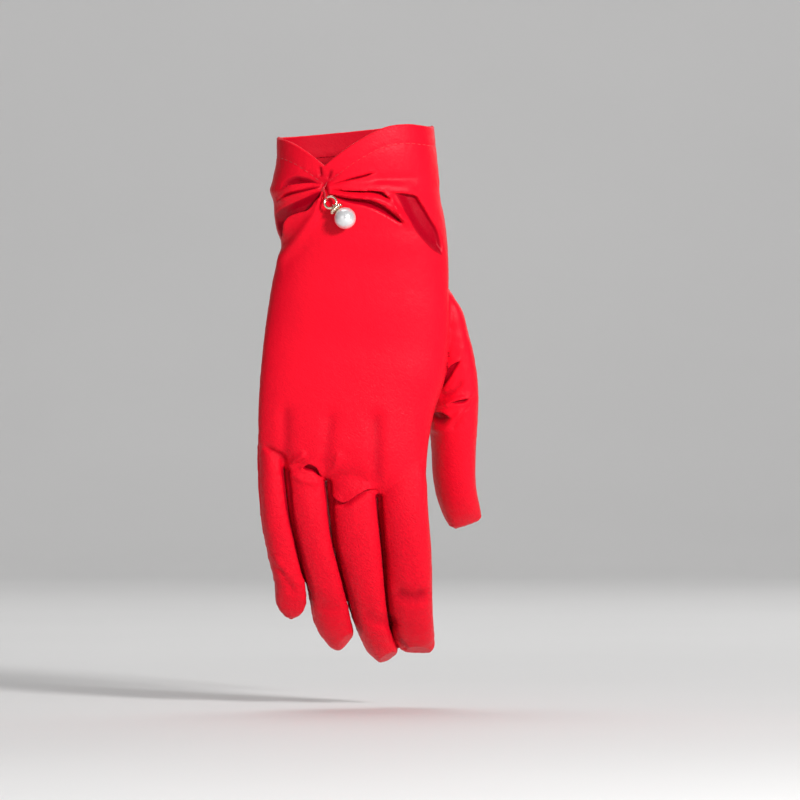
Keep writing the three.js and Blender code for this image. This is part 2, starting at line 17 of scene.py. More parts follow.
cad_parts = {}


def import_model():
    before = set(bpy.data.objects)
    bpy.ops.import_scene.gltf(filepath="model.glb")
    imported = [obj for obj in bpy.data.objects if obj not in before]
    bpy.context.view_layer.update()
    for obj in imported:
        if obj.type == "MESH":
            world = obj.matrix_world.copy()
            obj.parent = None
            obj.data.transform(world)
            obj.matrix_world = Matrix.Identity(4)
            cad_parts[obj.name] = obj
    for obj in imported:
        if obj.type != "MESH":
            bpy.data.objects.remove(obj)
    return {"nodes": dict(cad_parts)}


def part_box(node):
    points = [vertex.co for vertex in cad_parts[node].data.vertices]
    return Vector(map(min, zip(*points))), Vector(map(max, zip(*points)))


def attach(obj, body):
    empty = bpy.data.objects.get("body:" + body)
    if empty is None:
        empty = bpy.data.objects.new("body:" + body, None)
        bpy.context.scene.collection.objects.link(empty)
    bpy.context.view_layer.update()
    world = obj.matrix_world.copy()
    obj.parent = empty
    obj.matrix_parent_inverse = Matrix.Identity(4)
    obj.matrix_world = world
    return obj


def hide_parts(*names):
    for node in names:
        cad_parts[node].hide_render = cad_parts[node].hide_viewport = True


log = logging.getLogger("glove")
MM = 0.001
# Share of an edge that a cut keeps clear of both its ends.
CUT_MARGIN = 0.12
Node = bpy.types.Node
Piece = bpy.types.Object
Material = bpy.types.Material
Array = np.ndarray
Mesh = tuple[Array, Array]
Route = tuple[tuple[float, float], ...]
Colour = tuple[float, float, float, float]


# Tables and small helpers


class Face(Enum):
    """The side of the glove that a fold lies on."""

    BACK = "back of the hand"
    PALM = "palm"
    THUMB = "thumb"


class FoldKind(Enum):
    """How a fold's section looks."""

    RIDGE = "rounded ridge"
    VALLEY = "rounded valley"
    CREASE = "sharp valley"
    FLAP = "edge of cloth that stands out over a pocket below it"


def smoothstep(value: Array | float, low: float, high: float) -> Array:
    """Eases from 0 to 1 as value goes from low to high."""
    t = np.clip((np.asarray(value, float) - low) / (high - low), 0.0, 1.0)
    return t * t * (3.0 - 2.0 * t)


def unit(vectors: Array) -> Array:
    """Scales each row to a length of 1."""
    return vectors / np.maximum(np.linalg.norm(vectors, axis=1, keepdims=True), 1e-12)


def sides_of(faces: Array) -> Array:
    """Lists the directed edges of triangles, as pairs of vertices."""
    return np.vstack([faces[:, [0, 1]], faces[:, [1, 2]], faces[:, [2, 0]]])


def full_turn(count: int) -> Array:
    """Divides a full turn into equal steps."""
    return np.linspace(0, 2 * math.pi, count, endpoint=False)


@dataclass(frozen=True)
class SectionTable:
    """Rows of named columns, read between its rows on smooth curves.

    Attributes:
        columns: Names of the columns. The first is the place along the form.
        rows: One row for each section, in ascending order of the first column.
    """

    columns: tuple[str, ...]
    rows: tuple[tuple[float, ...], ...]

    def at(self, column: str, place: Array) -> Array:
        """Reads a column.

        Args:
            column: Name of the column.
            place: Places along the form.

        Returns:
            The column's value at each place.
        """
        table = np.array(self.rows)
        keys, values = table[:, 0], table[:, self.columns.index(column)]
        place = np.clip(np.asarray(place, float), keys[0], keys[-1])
        slopes = np.gradient(values, keys)
        upper = np.clip(np.searchsorted(keys, place), 1, len(keys) - 1)
        span = keys[upper] - keys[upper - 1]
        t = (place - keys[upper - 1]) / span
        start, end = values[upper - 1], values[upper]
        a, b = slopes[upper - 1] * span, slopes[upper] * span
        ease = t * t * (3 - 2 * t)
        return start + (end - start) * ease + t * (1 - t) * ((1 - t) * a - t * b)


def oval_depth(across: Array, boxiness: float) -> Array:
    """Depth of a box-cornered oval at a share of its half width, as a share of its half depth."""
    return np.maximum(1 - np.minimum(np.abs(across), 1.0) ** boxiness, 0.0) ** (1 / boxiness)


def smooth_path(points: tuple[tuple[float, ...], ...], steps: int = 6) -> Array:
    """Runs a smooth curve through a few points.

    Args:
        points: The points, two or more.
        steps: Steps between two of them.

    Returns:
        The points of the curve, one a row.
    """
    p = np.array(points, float)
    p = np.vstack([2 * p[0] - p[1], p, 2 * p[-1] - p[-2]])
    t = np.linspace(0, 1, steps, endpoint=False)[:, None]
    out = []
    for a, b, c, d in zip(p[:-3], p[1:-2], p[2:-1], p[3:]):
        square, cube = 2 * a - 5 * b + 4 * c - d, 3 * b - a - 3 * c + d
        out.append(0.5 * (2 * b + (c - a) * t + square * t**2 + cube * t**3))
    return np.vstack([*out, p[-2:-1]])


def relief(points: Array, scale: tuple[float, float, float], seed: float) -> Array:
    """Soft noise between -1 and 1.

    Args:
        points: Places in millimetres.
        scale: Size of the waves along X, Y and Z, in millimetres.
        seed: Shifts the pattern.

    Returns:
        One value for each place.
    """
    moved = points / np.array(scale) + seed
    return np.array([noise.noise(Vector(p)) for p in moved])


@dataclass
class Skin:
    """A triangle mesh of cloth that can be cut along any line and given a thickness.

    Attributes:
        place: Vertices as they lie, in millimetres.
        base: The same vertices before folds, on which seams are laid out.
        normal: Outward direction at each vertex.
        height: How far a fold lifts each vertex, lowered further where shade is painted between the fingers
            and in the pockets; it sets the cloth's colour.
        faces: Triangles.
    """

    place: Array
    base: Array
    normal: Array
    height: Array
    faces: Array

    def outward(self) -> Array:
        """Works out the outward direction at every vertex.

        Returns:
            Directions of length 1, one a row.
        """
        a, b, c = (self.place[self.faces[:, i]] for i in range(3))
        flat = np.cross(b - a, c - a)
        total = np.zeros_like(self.place)
        for axis in range(3):
            for corner in range(3):
                total[:, axis] += np.bincount(self.faces[:, corner], flat[:, axis], len(self.place))
        return unit(total)

    def cut(self, line: Array) -> tuple[Skin, Skin]:
        """Cuts the cloth where a value changes sign.

        Args:
            line: The value at each vertex.

        Returns:
            The part where it is negative, and the rest.
        """
        inside = line < 0
        count = inside[self.faces].sum(axis=1)
        mixed = self.faces[(count == 1) | (count == 2)]
        odd_inside = inside[mixed].sum(axis=1) == 1
        odd = np.argmax(inside[mixed] == odd_inside[:, None], axis=1)
        rows = np.arange(len(mixed))
        v0, v1, v2 = (mixed[rows, (odd + i) % 3] for i in range(3))
        pairs = np.sort(np.vstack([np.column_stack([v0, v1]), np.column_stack([v0, v2])]), axis=1)
        edges, index = np.unique(pairs, axis=0, return_inverse=True)
        index = index.ravel() + len(self.place)
        p1, p2 = index[: len(mixed)], index[len(mixed) :]
        low, high = line[edges[:, 0]], line[edges[:, 1]]
        share = np.clip(low / (low - high), CUT_MARGIN, 1 - CUT_MARGIN)[:, None]
        layers = (self.place, self.base, self.normal)
        new = [v[edges[:, 0]] * (1 - share) + v[edges[:, 1]] * share for v in layers]
        new[2] = unit(new[2])
        heights = self.height[edges[:, 0]] * (1 - share[:, 0]) + self.height[edges[:, 1]] * share[:, 0]
        place, base, normal = (np.vstack([v, n]) for v, n in zip(layers, new))
        height = np.concatenate([self.height, heights])
        tip = np.column_stack([v0, p1, p2])
        rest = np.vstack([np.column_stack([p1, v1, v2]), np.column_stack([p1, v2, p2])])
        twice = np.concatenate([odd_inside, odd_inside])
        parts = []
        for whole, tips, rests in ((3, odd_inside, ~twice), (0, ~odd_inside, twice)):
            faces = np.vstack([self.faces[count == whole], tip[tips], rest[rests]])
            used, packed = np.unique(faces, return_inverse=True)
            parts.append(Skin(place[used], base[used], normal[used], height[used], packed.reshape(-1, 3)))
        return parts[0], parts[1]

    def largest(self) -> Skin:
        """Drops the specks that a cut can leave beside the main piece.

        Returns:
            The main piece.
        """
        owner = np.arange(len(self.place))
        while True:
            lowest = owner[self.faces].min(axis=1)
            new = owner.copy()
            for corner in range(3):
                np.minimum.at(new, self.faces[:, corner], lowest)
            new = new[new]
            if (new == owner).all():
                break
            owner = new
        groups, sizes = np.unique(owner[self.faces[:, 0]], return_counts=True)
        keep = owner[self.faces[:, 0]] == groups[np.argmax(sizes)]
        used, packed = np.unique(self.faces[keep], return_inverse=True)
        kept = (self.place[used], self.base[used], self.normal[used], self.height[used])
        return Skin(*kept, packed.reshape(-1, 3))

    def border(self) -> Array:
        """Finds the directed edges that only one triangle has.

        Returns:
            Pairs of vertices.
        """
        edges = sides_of(self.faces)
        key = np.sort(edges, axis=1)
        _, index, count = np.unique(key, axis=0, return_inverse=True, return_counts=True)
        return edges[count[index.ravel()] == 1]

    def loops(self) -> list[Array]:
        """Follows the border round.

        Returns:
            Closed rings of vertices, longest first.
        """
        following = {int(a): int(b) for a, b in self.border()}
        rings = []
        while following:
            start, at = next(iter(following.items()))
            ring = [start]
            del following[start]
            while at in following:
                ring.append(at)
                at = following.pop(at)
            rings.append(np.array(ring))
        return sorted(rings, key=len, reverse=True)

    def thickened(self, outer: float, thickness: float) -> tuple[Array, Array, Array]:
        """Gives the cloth two faces and closed edges.

        Args:
            outer: How far below the skin its outer face lies.
            thickness: From there to the inner face.

        Returns:
            Vertices, triangles and the material index of each triangle: 0 outside, 1 inside.
        """
        count = len(self.place)
        top = self.place - self.normal * outer
        bottom = self.place - self.normal * (outer + thickness)
        a, b = self.border().T
        wall = np.vstack([np.column_stack([b, a, a + count]), np.column_stack([b, a + count, b + count])])
        faces = np.vstack([self.faces, wall, self.faces[:, ::-1] + count])
        kind = np.zeros(len(faces), int)
        kind[len(self.faces) + len(wall) :] = 1
        return np.vstack([top, bottom]), faces, kind


def mesh_object(
    name: str,
    places: Array,
    faces: Array,
    materials: list[Material],
    kinds: Array | None = None,
    heights: Array | None = None,
    sharp: float = 50.0,
) -> Piece:
    """Makes an object from points in millimetres.

    Args:
        name: Name of the object.
        places: Vertices, in millimetres.
        faces: Triangles or quads.
        materials: Material slots.
        kinds: Slot of each face.
        heights: Lift of each vertex by the folds, with the painted shade added in, kept for the painted shade
            in the cloth's colour.
        sharp: Edges that bend more than this, in degrees, stay crisp.

    Returns:
        The new object, linked to the scene.
    """
    mesh = bpy.data.meshes.new(name)
    mesh.vertices.add(len(places))
    mesh.vertices.foreach_set("co", (places * MM).astype(np.float32).ravel())
    corners = faces.shape[1]
    mesh.loops.add(faces.size)
    mesh.loops.foreach_set("vertex_index", faces.astype(np.int32).ravel())
    mesh.polygons.add(len(faces))
    mesh.polygons.foreach_set("loop_start", np.arange(0, faces.size, corners, dtype=np.int32))
    for material in materials:
        mesh.materials.append(material)
    if kinds is not None:
        mesh.polygons.foreach_set("material_index", kinds.astype(np.int32))
    mesh.update(calc_edges=True)
    mesh.shade_smooth()
    mesh.set_sharp_from_angle(angle=math.radians(sharp))
    if heights is not None:
        layer = mesh.attributes.new("fold_height_and_shade", "FLOAT", "POINT")
        layer.data.foreach_set("value", heights.astype(np.float32))
    mesh.validate()
    obj = bpy.data.objects.new(name, mesh)
    bpy.context.scene.collection.objects.link(obj)
    return obj


def loft(sections: Array) -> Mesh:
    """Closes a surface over rows of points, with a cap on each end.

    Args:
        sections: Rows of equally many points.

    Returns:
        Vertices and triangles.
    """
    rows, count = sections.shape[:2]
    points = np.vstack([sections.reshape(-1, 3), sections[0].mean(axis=0), sections[-1].mean(axis=0)])
    j = np.arange(count)
    k = (j + 1) % count
    faces = []
    for i in range(rows - 1):
        a, b, c, d = i * count + j, (i + 1) * count + j, i * count + k, (i + 1) * count + k
        faces += [np.column_stack([a, b, c]), np.column_stack([c, b, d])]
    last = (rows - 1) * count
    faces.append(np.column_stack([j, k, np.full(count, rows * count)]))
    faces.append(np.column_stack([last + k, last + j, np.full(count, rows * count + 1)]))
    return points, np.vstack(faces)


def tube_along(path: Array, radius: Array | float, sides: int, closed: bool) -> Mesh:
    """Makes a round tube along a path.

    Args:
        path: Points of the path.
        radius: One radius, or one for each point.
        sides: Sides of the tube's section.
        closed: Whether the path is a ring.

    Returns:
        Vertices and triangles.
    """
    count = len(path)
    if closed:
        along = np.roll(path, -1, axis=0) - np.roll(path, 1, axis=0)
    else:
        along = np.gradient(path, axis=0)
    along = unit(along)
    side = np.cross(along[0], (0.3, 0.5, 0.81))
    sides_out = []
    for direction in along:
        side = side - direction * side.dot(direction)
        side /= np.linalg.norm(side)
        sides_out.append(side)
    across = np.array(sides_out)
    if closed:
        # The twist that is left over after one round is spread along the ring.
        end = across[-1] - along[0] * across[-1].dot(along[0])
        end /= np.linalg.norm(end)
        over = math.atan2(np.cross(across[0], end).dot(along[0]), across[0].dot(end))
    else:
        over = 0.0
    other = np.cross(along, across)
    turn = full_turn(sides)[None, :]
    turn = turn - over * np.arange(count)[:, None] / count
    size = np.broadcast_to(np.asarray(radius, float), (count,))[:, None, None]
    ring = np.cos(turn)[..., None] * across[:, None] + np.sin(turn)[..., None] * other[:, None]
    sections = path[:, None] + ring * size
    if not closed:
        places, faces = loft(sections)
        return places, faces[:, ::-1]
    faces = []
    j = np.arange(sides)
    k = (j + 1) % sides
    for i in range(count):
        n = (i + 1) % count
        a, b, c, d = i * sides + j, n * sides + j, i * sides + k, n * sides + k
        faces += [np.column_stack([a, c, b]), np.column_stack([c, d, b])]
    return sections.reshape(-1, 3), np.vstack(faces)


def turned(profile: list[tuple[float, float]], sides: int) -> Mesh:
    """Turns a profile round the Z axis.

    Args:
        profile: Radius and height of each point, from an end on the axis to the other.
        sides: Sides of the turned form.

    Returns:
        Vertices and triangles.
    """
    turn = full_turn(sides)
    rows = [np.column_stack([r * np.cos(turn), r * np.sin(turn), np.full(sides, z)]) for r, z in profile]
    places, faces = loft(np.array(rows[1:-1]))
    places[-2] = (0, 0, profile[0][1])
    places[-1] = (0, 0, profile[-1][1])
    return places, faces


def joined(parts: list[Mesh]) -> Mesh:
    """Puts several meshes into one.

    Args:
        parts: Vertices and triangles of each mesh.

    Returns:
        All vertices and all triangles.
    """
    places, faces, start = [], [], 0
    for p, f in parts:
        places.append(p)
        faces.append(f + start)
        start += len(p)
    return np.vstack(places), np.vstack(faces)


# Finishes


def shader(name: str) -> tuple[Material, bpy.types.NodeTree, Node]:
    """Starts a material.

    Args:
        name: Name of the material.

    Returns:
        The material, its node tree and its main shader.
    """
    material = bpy.data.materials.new(name)
    material.use_nodes = True
    tree = material.node_tree
    return material, tree, tree.nodes["Principled BSDF"]


def add_node(tree: bpy.types.NodeTree, kind: str, **values: object) -> Node:
    """Adds a node.

    Args:
        tree: Where to add it.
        kind: Type of the node, without its prefix.
        **values: Properties by name, or inputs by their names with _ for a space.

    Returns:
        The node.
    """
    node = tree.nodes.new("ShaderNode" + kind)
    for key, value in values.items():
        if hasattr(node, key):
            setattr(node, key, value)
        else:
            node.inputs[key.replace("_", " ")].default_value = value
    return node


def wire(start: Node, output: str | int, end: Node, entry: str | int) -> None:
    """Links an output of one node to an input of another."""
    start.id_data.links.new(start.outputs[output], end.inputs[entry])


@dataclass(frozen=True)
class SatinFinish:
    """Stretch satin: a fine knit with a soft sheen, with painted shade that darkens its colour down in the
    folds, between the fingers and in the pockets.

    Attributes:
        name: Name of the material.
        deep: Colour of the painted shade, down in the folds, between the fingers and in the pockets.
        face: The satin's own colour, on the ridges and wherever no shade is painted.
        roughness: Roughness of the threads.
        sheen: Strength of the soft glow at grazing angles.
        knit_mm: Distance between two threads.
        knit_depth: Strength of the knit's relief, and of the painted shade in its hollows, where the cloth is
            stretched over the fingers.
        knit_from: Heights at which the knit starts to show and shows in full, in metres.
        levels: Lift of the folds, lowered further by the painted shade, at which the colour is deep and face,
            in millimetres.
        gloss: Strength of the clear shine.
        gloss_tint: Colour of the clear shine.
        drawn_out: How far the shine is drawn out across the threads.
        sheen_spread: Roughness of the glow at grazing angles.
        sheen_tint: Colour of that glow.
    """

    name: str = "red_satin"
    deep: Colour = (0.36, 0.0, 0.01, 1.0)
    face: Colour = (0.84, 0.004, 0.02, 1.0)
    roughness: float = 0.36
    sheen: float = 0.05
    knit_mm: float = 0.55
    knit_depth: float = 0.6
    knit_from: tuple[float, float] = (-0.06, -0.13)
    levels: tuple[float, float] = (-1.9, -0.35)
    gloss: float = 0.24
    gloss_tint: Colour = (1.0, 0.32, 0.36, 1.0)
    drawn_out: float = 0.45
    sheen_spread: float = 0.45
    sheen_tint: Colour = (1.0, 0.12, 0.15, 1.0)

    def material(self) -> Material:
        """Builds the material.

        Returns:
            The material.
        """
        material, tree, bsdf = shader(self.name)
        where = add_node(tree, "TexCoord")
        # Painted shade: the colour goes from face to deep as the stored lift goes down, with the shade
        # painted between the fingers and in the pockets added in.
        lift = add_node(tree, "Attribute", attribute_name="fold_height_and_shade")
        low, high = self.levels
        level = add_node(tree, "MapRange", From_Min=low, From_Max=high)
        cloud = add_node(tree, "TexNoise", Scale=45.0, Detail=4.0, Roughness=0.6)
        vary = add_node(tree, "MapRange", From_Min=0.3, From_Max=0.7, To_Min=0.86, To_Max=1.0)
        both = add_node(tree, "Math", operation="MULTIPLY")
        colour = add_node(tree, "Mix", data_type="RGBA")
        colour.inputs[6].default_value = self.deep
        colour.inputs[7].default_value = self.face
        wire(lift, "Fac", level, "Value")
        wire(where, "Object", cloud, "Vector")
        wire(cloud, "Fac", vary, "Value")
        wire(level, "Result", both, 0)
        wire(vary, "Result", both, 1)
        wire(colour, 2, bsdf, "Base Color")
        slant = add_node(tree, "Mapping", vector_type="TEXTURE", Rotation=(0.0, 0.7, 0.0))
        slant.inputs["Scale"].default_value = (3.0 * self.knit_mm * MM, 2.0 * MM, self.knit_mm * MM)
        threads = add_node(tree, "TexNoise", Scale=1.0, Detail=3.0, Roughness=0.6)
        grain = add_node(tree, "TexNoise", Scale=1900.0, Detail=3.0, Roughness=0.6)
        total = add_node(tree, "Math", operation="ADD")
        height = add_node(tree, "SeparateXYZ")
        start, full = self.knit_from
        knit = self.knit_depth
        stretched = add_node(tree, "MapRange", From_Min=start, From_Max=full, To_Min=0.3 * knit, To_Max=knit)
        bump = add_node(tree, "Bump", Distance=0.0006)
        # Painted shade in the knit's hollows: where the cloth is stretched, the colour darkens where the
        # threads' relief is low.
        knit_shade = add_node(tree, "MapRange", From_Min=0.32, From_Max=0.62, To_Min=0.55, To_Max=1.0)
        specks = add_node(tree, "Mix", data_type="FLOAT", A=1.0)
        shade_and_tone = add_node(tree, "Math", operation="MULTIPLY")
        wire(where, "Object", slant, "Vector")
        wire(where, "Object", height, "Vector")
        wire(where, "Object", grain, "Vector")
        wire(slant, "Vector", threads, "Vector")
        wire(height, "Z", stretched, "Value")
        wire(threads, "Fac", total, 0)
        wire(grain, "Fac", total, 1)
        wire(total, "Value", bump, "Height")
        wire(stretched, "Result", bump, "Strength")
        wire(bump, "Normal", bsdf, "Normal")
        wire(threads, "Fac", knit_shade, "Value")
        wire(stretched, "Result", specks, "Factor")
        wire(knit_shade, "Result", specks, "B")
        # The painted shade of the folds and of the knit, times the cloth's own random tone, picks the colour.
        wire(both, "Value", shade_and_tone, 0)
        wire(specks, "Result", shade_and_tone, 1)
        wire(shade_and_tone, "Value", colour, 0)
        least, most = self.roughness - 0.04, self.roughness + 0.06
        rough = add_node(tree, "MapRange", From_Min=0.3, From_Max=0.7, To_Min=least, To_Max=most)
        wire(cloud, "Fac", rough, "Value")
        wire(rough, "Result", bsdf, "Roughness")
        bsdf.inputs["Specular IOR Level"].default_value = self.gloss
        bsdf.inputs["Specular Tint"].default_value = self.gloss_tint
        bsdf.inputs["Anisotropic"].default_value = self.drawn_out
        bsdf.inputs["Sheen Weight"].default_value = self.sheen
        bsdf.inputs["Sheen Roughness"].default_value = self.sheen_spread
        bsdf.inputs["Sheen Tint"].default_value = self.sheen_tint
        tangent = add_node(tree, "Tangent", direction_type="RADIAL", axis="Z")
        wire(tangent, "Tangent", bsdf, "Tangent")
        return material


@dataclass(frozen=True)
class ThreadFinish:
    """Twisted red sewing thread, with painted shade in the grooves of its twist.

    Attributes:
        name: Name of the material.
        colour: Colour of the thread.
        twist: Scale of the bands that the twist makes.
        shade: How light the painted shade leaves the grooves of the twist, as a share.
        roughness: Roughness of the fibres.
        sheen: Strength of the soft glow at grazing angles.
    """

    name: str = "red_thread"
    colour: Colour = (0.72, 0.003, 0.018, 1.0)
    twist: float = 900.0
    shade: float = 0.6
    roughness: float = 0.55
    sheen: float = 0.2

    def material(self) -> Material:
        """Builds the material.

        Returns:
            The material.
        """
        material, tree, bsdf = shader(self.name)
        where = add_node(tree, "TexCoord")
        twist = add_node(tree, "TexWave", bands_direction="DIAGONAL", Scale=self.twist)
        # Painted shade: the grooves of the twist get a darker copy of the thread's colour.
        shade = add_node(tree, "Mix", data_type="RGBA")
        shade.inputs[6].default_value = tuple(self.shade * v for v in self.colour[:3]) + (1.0,)
        shade.inputs[7].default_value = self.colour
        bump = add_node(tree, "Bump", Strength=0.5, Distance=0.0001)
        wire(where, "Object", twist, "Vector")
        wire(twist, "Fac", shade, 0)
        wire(shade, 2, bsdf, "Base Color")
        wire(twist, "Fac", bump, "Height")
        wire(bump, "Normal", bsdf, "Normal")
        bsdf.inputs["Roughness"].default_value = self.roughness
        bsdf.inputs["Sheen Weight"].default_value = self.sheen
        return material


@dataclass(frozen=True)
class GoldFinish:
    """Pale gold plate with fine handling marks.

    Attributes:
        name: Name of the material.
        colour: Colour of the metal.
        roughness: Mean roughness.
    """

    name: str = "pale_gold"
    colour: Colour = (0.9, 0.79, 0.6, 1.0)
    roughness: float = 0.2

    def material(self) -> Material:
        """Builds the material.

        Returns:
            The material.
        """
        material, tree, bsdf = shader(self.name)
        where = add_node(tree, "TexCoord")
        marks = add_node(tree, "TexNoise", Scale=1600.0, Detail=4.0)
        least, most = self.roughness - 0.06, self.roughness + 0.1
        rough = add_node(tree, "MapRange", From_Min=0.3, From_Max=0.7, To_Min=least, To_Max=most)
        bump = add_node(tree, "Bump", Strength=0.08, Distance=0.0001)
        wire(where, "Object", marks, "Vector")
        wire(marks, "Fac", rough, "Value")
        wire(rough, "Result", bsdf, "Roughness")
        wire(marks, "Fac", bump, "Height")
        wire(bump, "Normal", bsdf, "Normal")
        bsdf.inputs["Base Color"].default_value = self.colour
        bsdf.inputs["Metallic"].default_value = 1.0
        return material


@dataclass(frozen=True)
class PearlFinish:
    """Imitation pearl: a milky body under a glossy coat, with a faint play of colour.

    Attributes:
        name: Name of the material.
        warm: One of the two tints.
        cool: The other tint.
        lustre: How much light the layers throw back like metal.
        roughness: Roughness of the body.
        coat: Strength of the glossy coat.
        coat_roughness: Roughness of the coat.
        sheen: Strength of the soft glow at its edge.
    """

    name: str = "white_pearl"
    warm: Colour = (0.87, 0.8, 0.78, 1.0)
    cool: Colour = (0.72, 0.76, 0.79, 1.0)
    lustre: float = 0.45
    roughness: float = 0.24
    coat: float = 0.8
    coat_roughness: float = 0.08
    sheen: float = 0.3

    def material(self) -> Material:
        """Builds the material.

        Returns:
            The material.
        """
        material, tree, bsdf = shader(self.name)
        where = add_node(tree, "TexCoord")
        clouds = add_node(tree, "TexNoise", Scale=210.0, Detail=3.0, Roughness=0.5)
        tint = add_node(tree, "Mix", data_type="RGBA")
        tint.inputs[6].default_value = self.warm
        tint.inputs[7].default_value = self.cool
        bump = add_node(tree, "Bump", Strength=0.04, Distance=0.0001)
        wire(where, "Object", clouds, "Vector")
        wire(clouds, "Fac", tint, 0)
        wire(tint, 2, bsdf, "Base Color")
        wire(clouds, "Fac", bump, "Height")
        wire(bump, "Normal", bsdf, "Normal")
        bsdf.inputs["Metallic"].default_value = self.lustre
        bsdf.inputs["Roughness"].default_value = self.roughness
        bsdf.inputs["Coat Weight"].default_value = self.coat
        bsdf.inputs["Coat Roughness"].default_value = self.coat_roughness
        bsdf.inputs["Sheen Weight"].default_value = self.sheen
        bsdf.inputs["Sheen Tint"].default_value = (1.0, 0.9, 0.95, 1.0)
        return material


# The forms that the cloth covers


@dataclass(frozen=True)
class HandForm:
    """The hand and the cuff, and the bend that the fingers follow.

    Attributes:
        length: From the gather down to the middle of the webs.
        width: Across the knuckles.
        depth: Through the palm.
        wrist_width: Across the wrist.
        wrist_depth: Through the wrist.
        cuff_height: From the gather up to the rim, in the middle.
        cuff_rise: How much higher the rim is on the thumb side.
        corner_drop: How much the rim drops towards its corner on the thumb side.
        notch_depth: How far the gather pulls the rim down.
        notch_reach: How far the notch reaches to its left and right, as shares of the wrist's width.
        front_drop: How much lower the rim's front lies than its rear.
        gather_at: Place of the gather, as a share of the wrist's width.
        web_slant: How much lower the webs are on the index side.
        little_side: Share of the width on the little finger's side of the wrist's middle.
        knuckle_share: Where the bend of the fingers starts, as a share of the length.
        curl: Turn of the fingers from the knuckles to the middle finger's tip, in degrees.
        middle_length: Length of the middle finger.
        boxiness: 2 for an oval, more for squarer corners.
        half_round: Points on the front of each section, and on its rear.
        sections: The rows of the form. at is a share of the cuff, or of the length, if negative.
    """

    length: float = 113.0
    width: float = 65.46
    depth: float = 27.0
    wrist_width: float = 65.5
    wrist_depth: float = 39.0
    cuff_height: float = 24.0
    cuff_rise: float = 6.6
    corner_drop: float = 1.9
    notch_depth: float = 13.2
    notch_reach: tuple[float, float] = (0.29, 0.41)
    front_drop: float = 0.8
    gather_at: float = -0.188
    web_slant: float = 21.0
    little_side: float = 0.58
    knuckle_share: float = 0.85
    curl: float = 48.0
    middle_length: float = 77.5
    boxiness: float = 2.3
    half_round: int = 64
    sections: SectionTable = SectionTable(
        ("at", "wrist", "left", "right", "front", "rear"),
        (
            (-1.0, 0, 0.545, 0.4, 0.17, 0.18), (-0.95, 0, 0.575, 0.415, 0.32, 0.35),
            (-0.88, 0, 0.58, 0.418, 0.39, 0.44), (-0.8, 0, 0.579, 0.43, 0.43, 0.49),
            (-0.7, 0, 0.571, 0.465, 0.46, 0.53), (-0.6, 0, 0.557, 0.525, 0.48, 0.56),
            (-0.5, 0, 0.54, 0.548, 0.49, 0.56), (-0.4, 0.3, 0.518, 0.552, 0.47, 0.51),
            (-0.31, 0.6, 0.493, 0.547, 0.44, 0.46), (-0.225, 0.9, 0.458, 0.545, 0.42, 0.42),
            (-0.184, 1, 0.442, 0.54, 0.43, 0.42), (-0.125, 1, 0.472, 0.53, 0.45, 0.44),
            (-0.08, 1, 0.484, 0.518, 0.47, 0.46), (-0.03, 1, 0.489, 0.5, 0.49, 0.48),
            (0.0, 1, 0.505, 0.494, 0.5, 0.49), (0.12, 1, 0.5, 0.493, 0.5, 0.5),
            (0.5, 1, 0.474, 0.48, 0.52, 0.52), (1.0, 1, 0.47, 0.46, 0.53, 0.53),
            (1.3, 1, 0.47, 0.455, 0.53, 0.53),
        ),
    )

    @property
    def knuckles(self) -> float:
        """How far down the bend of the fingers starts."""
        return self.knuckle_share * self.length

    @property
    def gather_x(self) -> float:
        """Place of the gather across the wrist."""
        return self.gather_at * self.wrist_width

    @property
    def bend_radius(self) -> float:
        """Radius of the arc that the fingers follow."""
        return (self.length - self.knuckles + self.middle_length) / math.radians(self.curl)

    def bent(self, x: Array, along: Array, off: Array | float = 0.0) -> Array:
        """Finds places by their length down the bend.

        Args:
            x: Place across the hand.
            along: Length along the arc below the knuckles, negative above them.
            off: Distance from the arc, on the palm's side.

        Returns:
            The places, one a row.
        """
        angle = np.maximum(along, 0) / self.bend_radius
        radius = self.bend_radius - off
        y = self.bend_radius - radius * np.cos(angle)
        z = np.maximum(-along, 0) - self.knuckles - radius * np.sin(angle)
        return np.stack(np.broadcast_arrays(x, y, z), axis=-1)

    def unbent(self, places: Array) -> tuple[Array, Array]:
        """Finds how places lie to the bend of the fingers.

        Args:
            places: Places, one a row.

        Returns:
            How far along the bend each lies, and how far off it.
        """
        y, below = places[:, 1], -(places[:, 2] + self.knuckles)
        angle = np.arctan2(np.maximum(below, 0), self.bend_radius - y)
        along = np.where(below > 0, self.bend_radius * angle, below)
        off = np.where(below > 0, self.bend_radius - np.hypot(below, self.bend_radius - y), y)
        return along, off

    def rim_height(self, x: Array, frontness: Array) -> Array:
        """Works out the height of the rim, with the notch in its front.

        Args:
            x: Places across the cuff.
            frontness: How far towards the front each lies, as a share of half the depth.

        Returns:
            The heights.
        """
        away = x / self.wrist_width - self.gather_at
        reach = np.where(away < 0, self.notch_reach[0], self.notch_reach[1])
        notch = self.notch_depth * np.maximum(0, 1 - np.abs(away) / reach) ** 1.5
        line = self.cuff_height + self.cuff_rise * x / self.wrist_width
        corner = self.corner_drop * smoothstep(x / self.wrist_width, 0.28, 0.5)
        return line - corner - (notch + self.front_drop) * smoothstep(frontness, 0, 0.4)

    def form(self, inset: float) -> Mesh:
        """Builds the hand and the cuff as a closed form.

        Args:
            inset: How far inside the cloth's outer face it lies.

        Returns:
            Vertices and triangles.
        """
        even = np.linspace(-1, 1, self.half_round, endpoint=False)
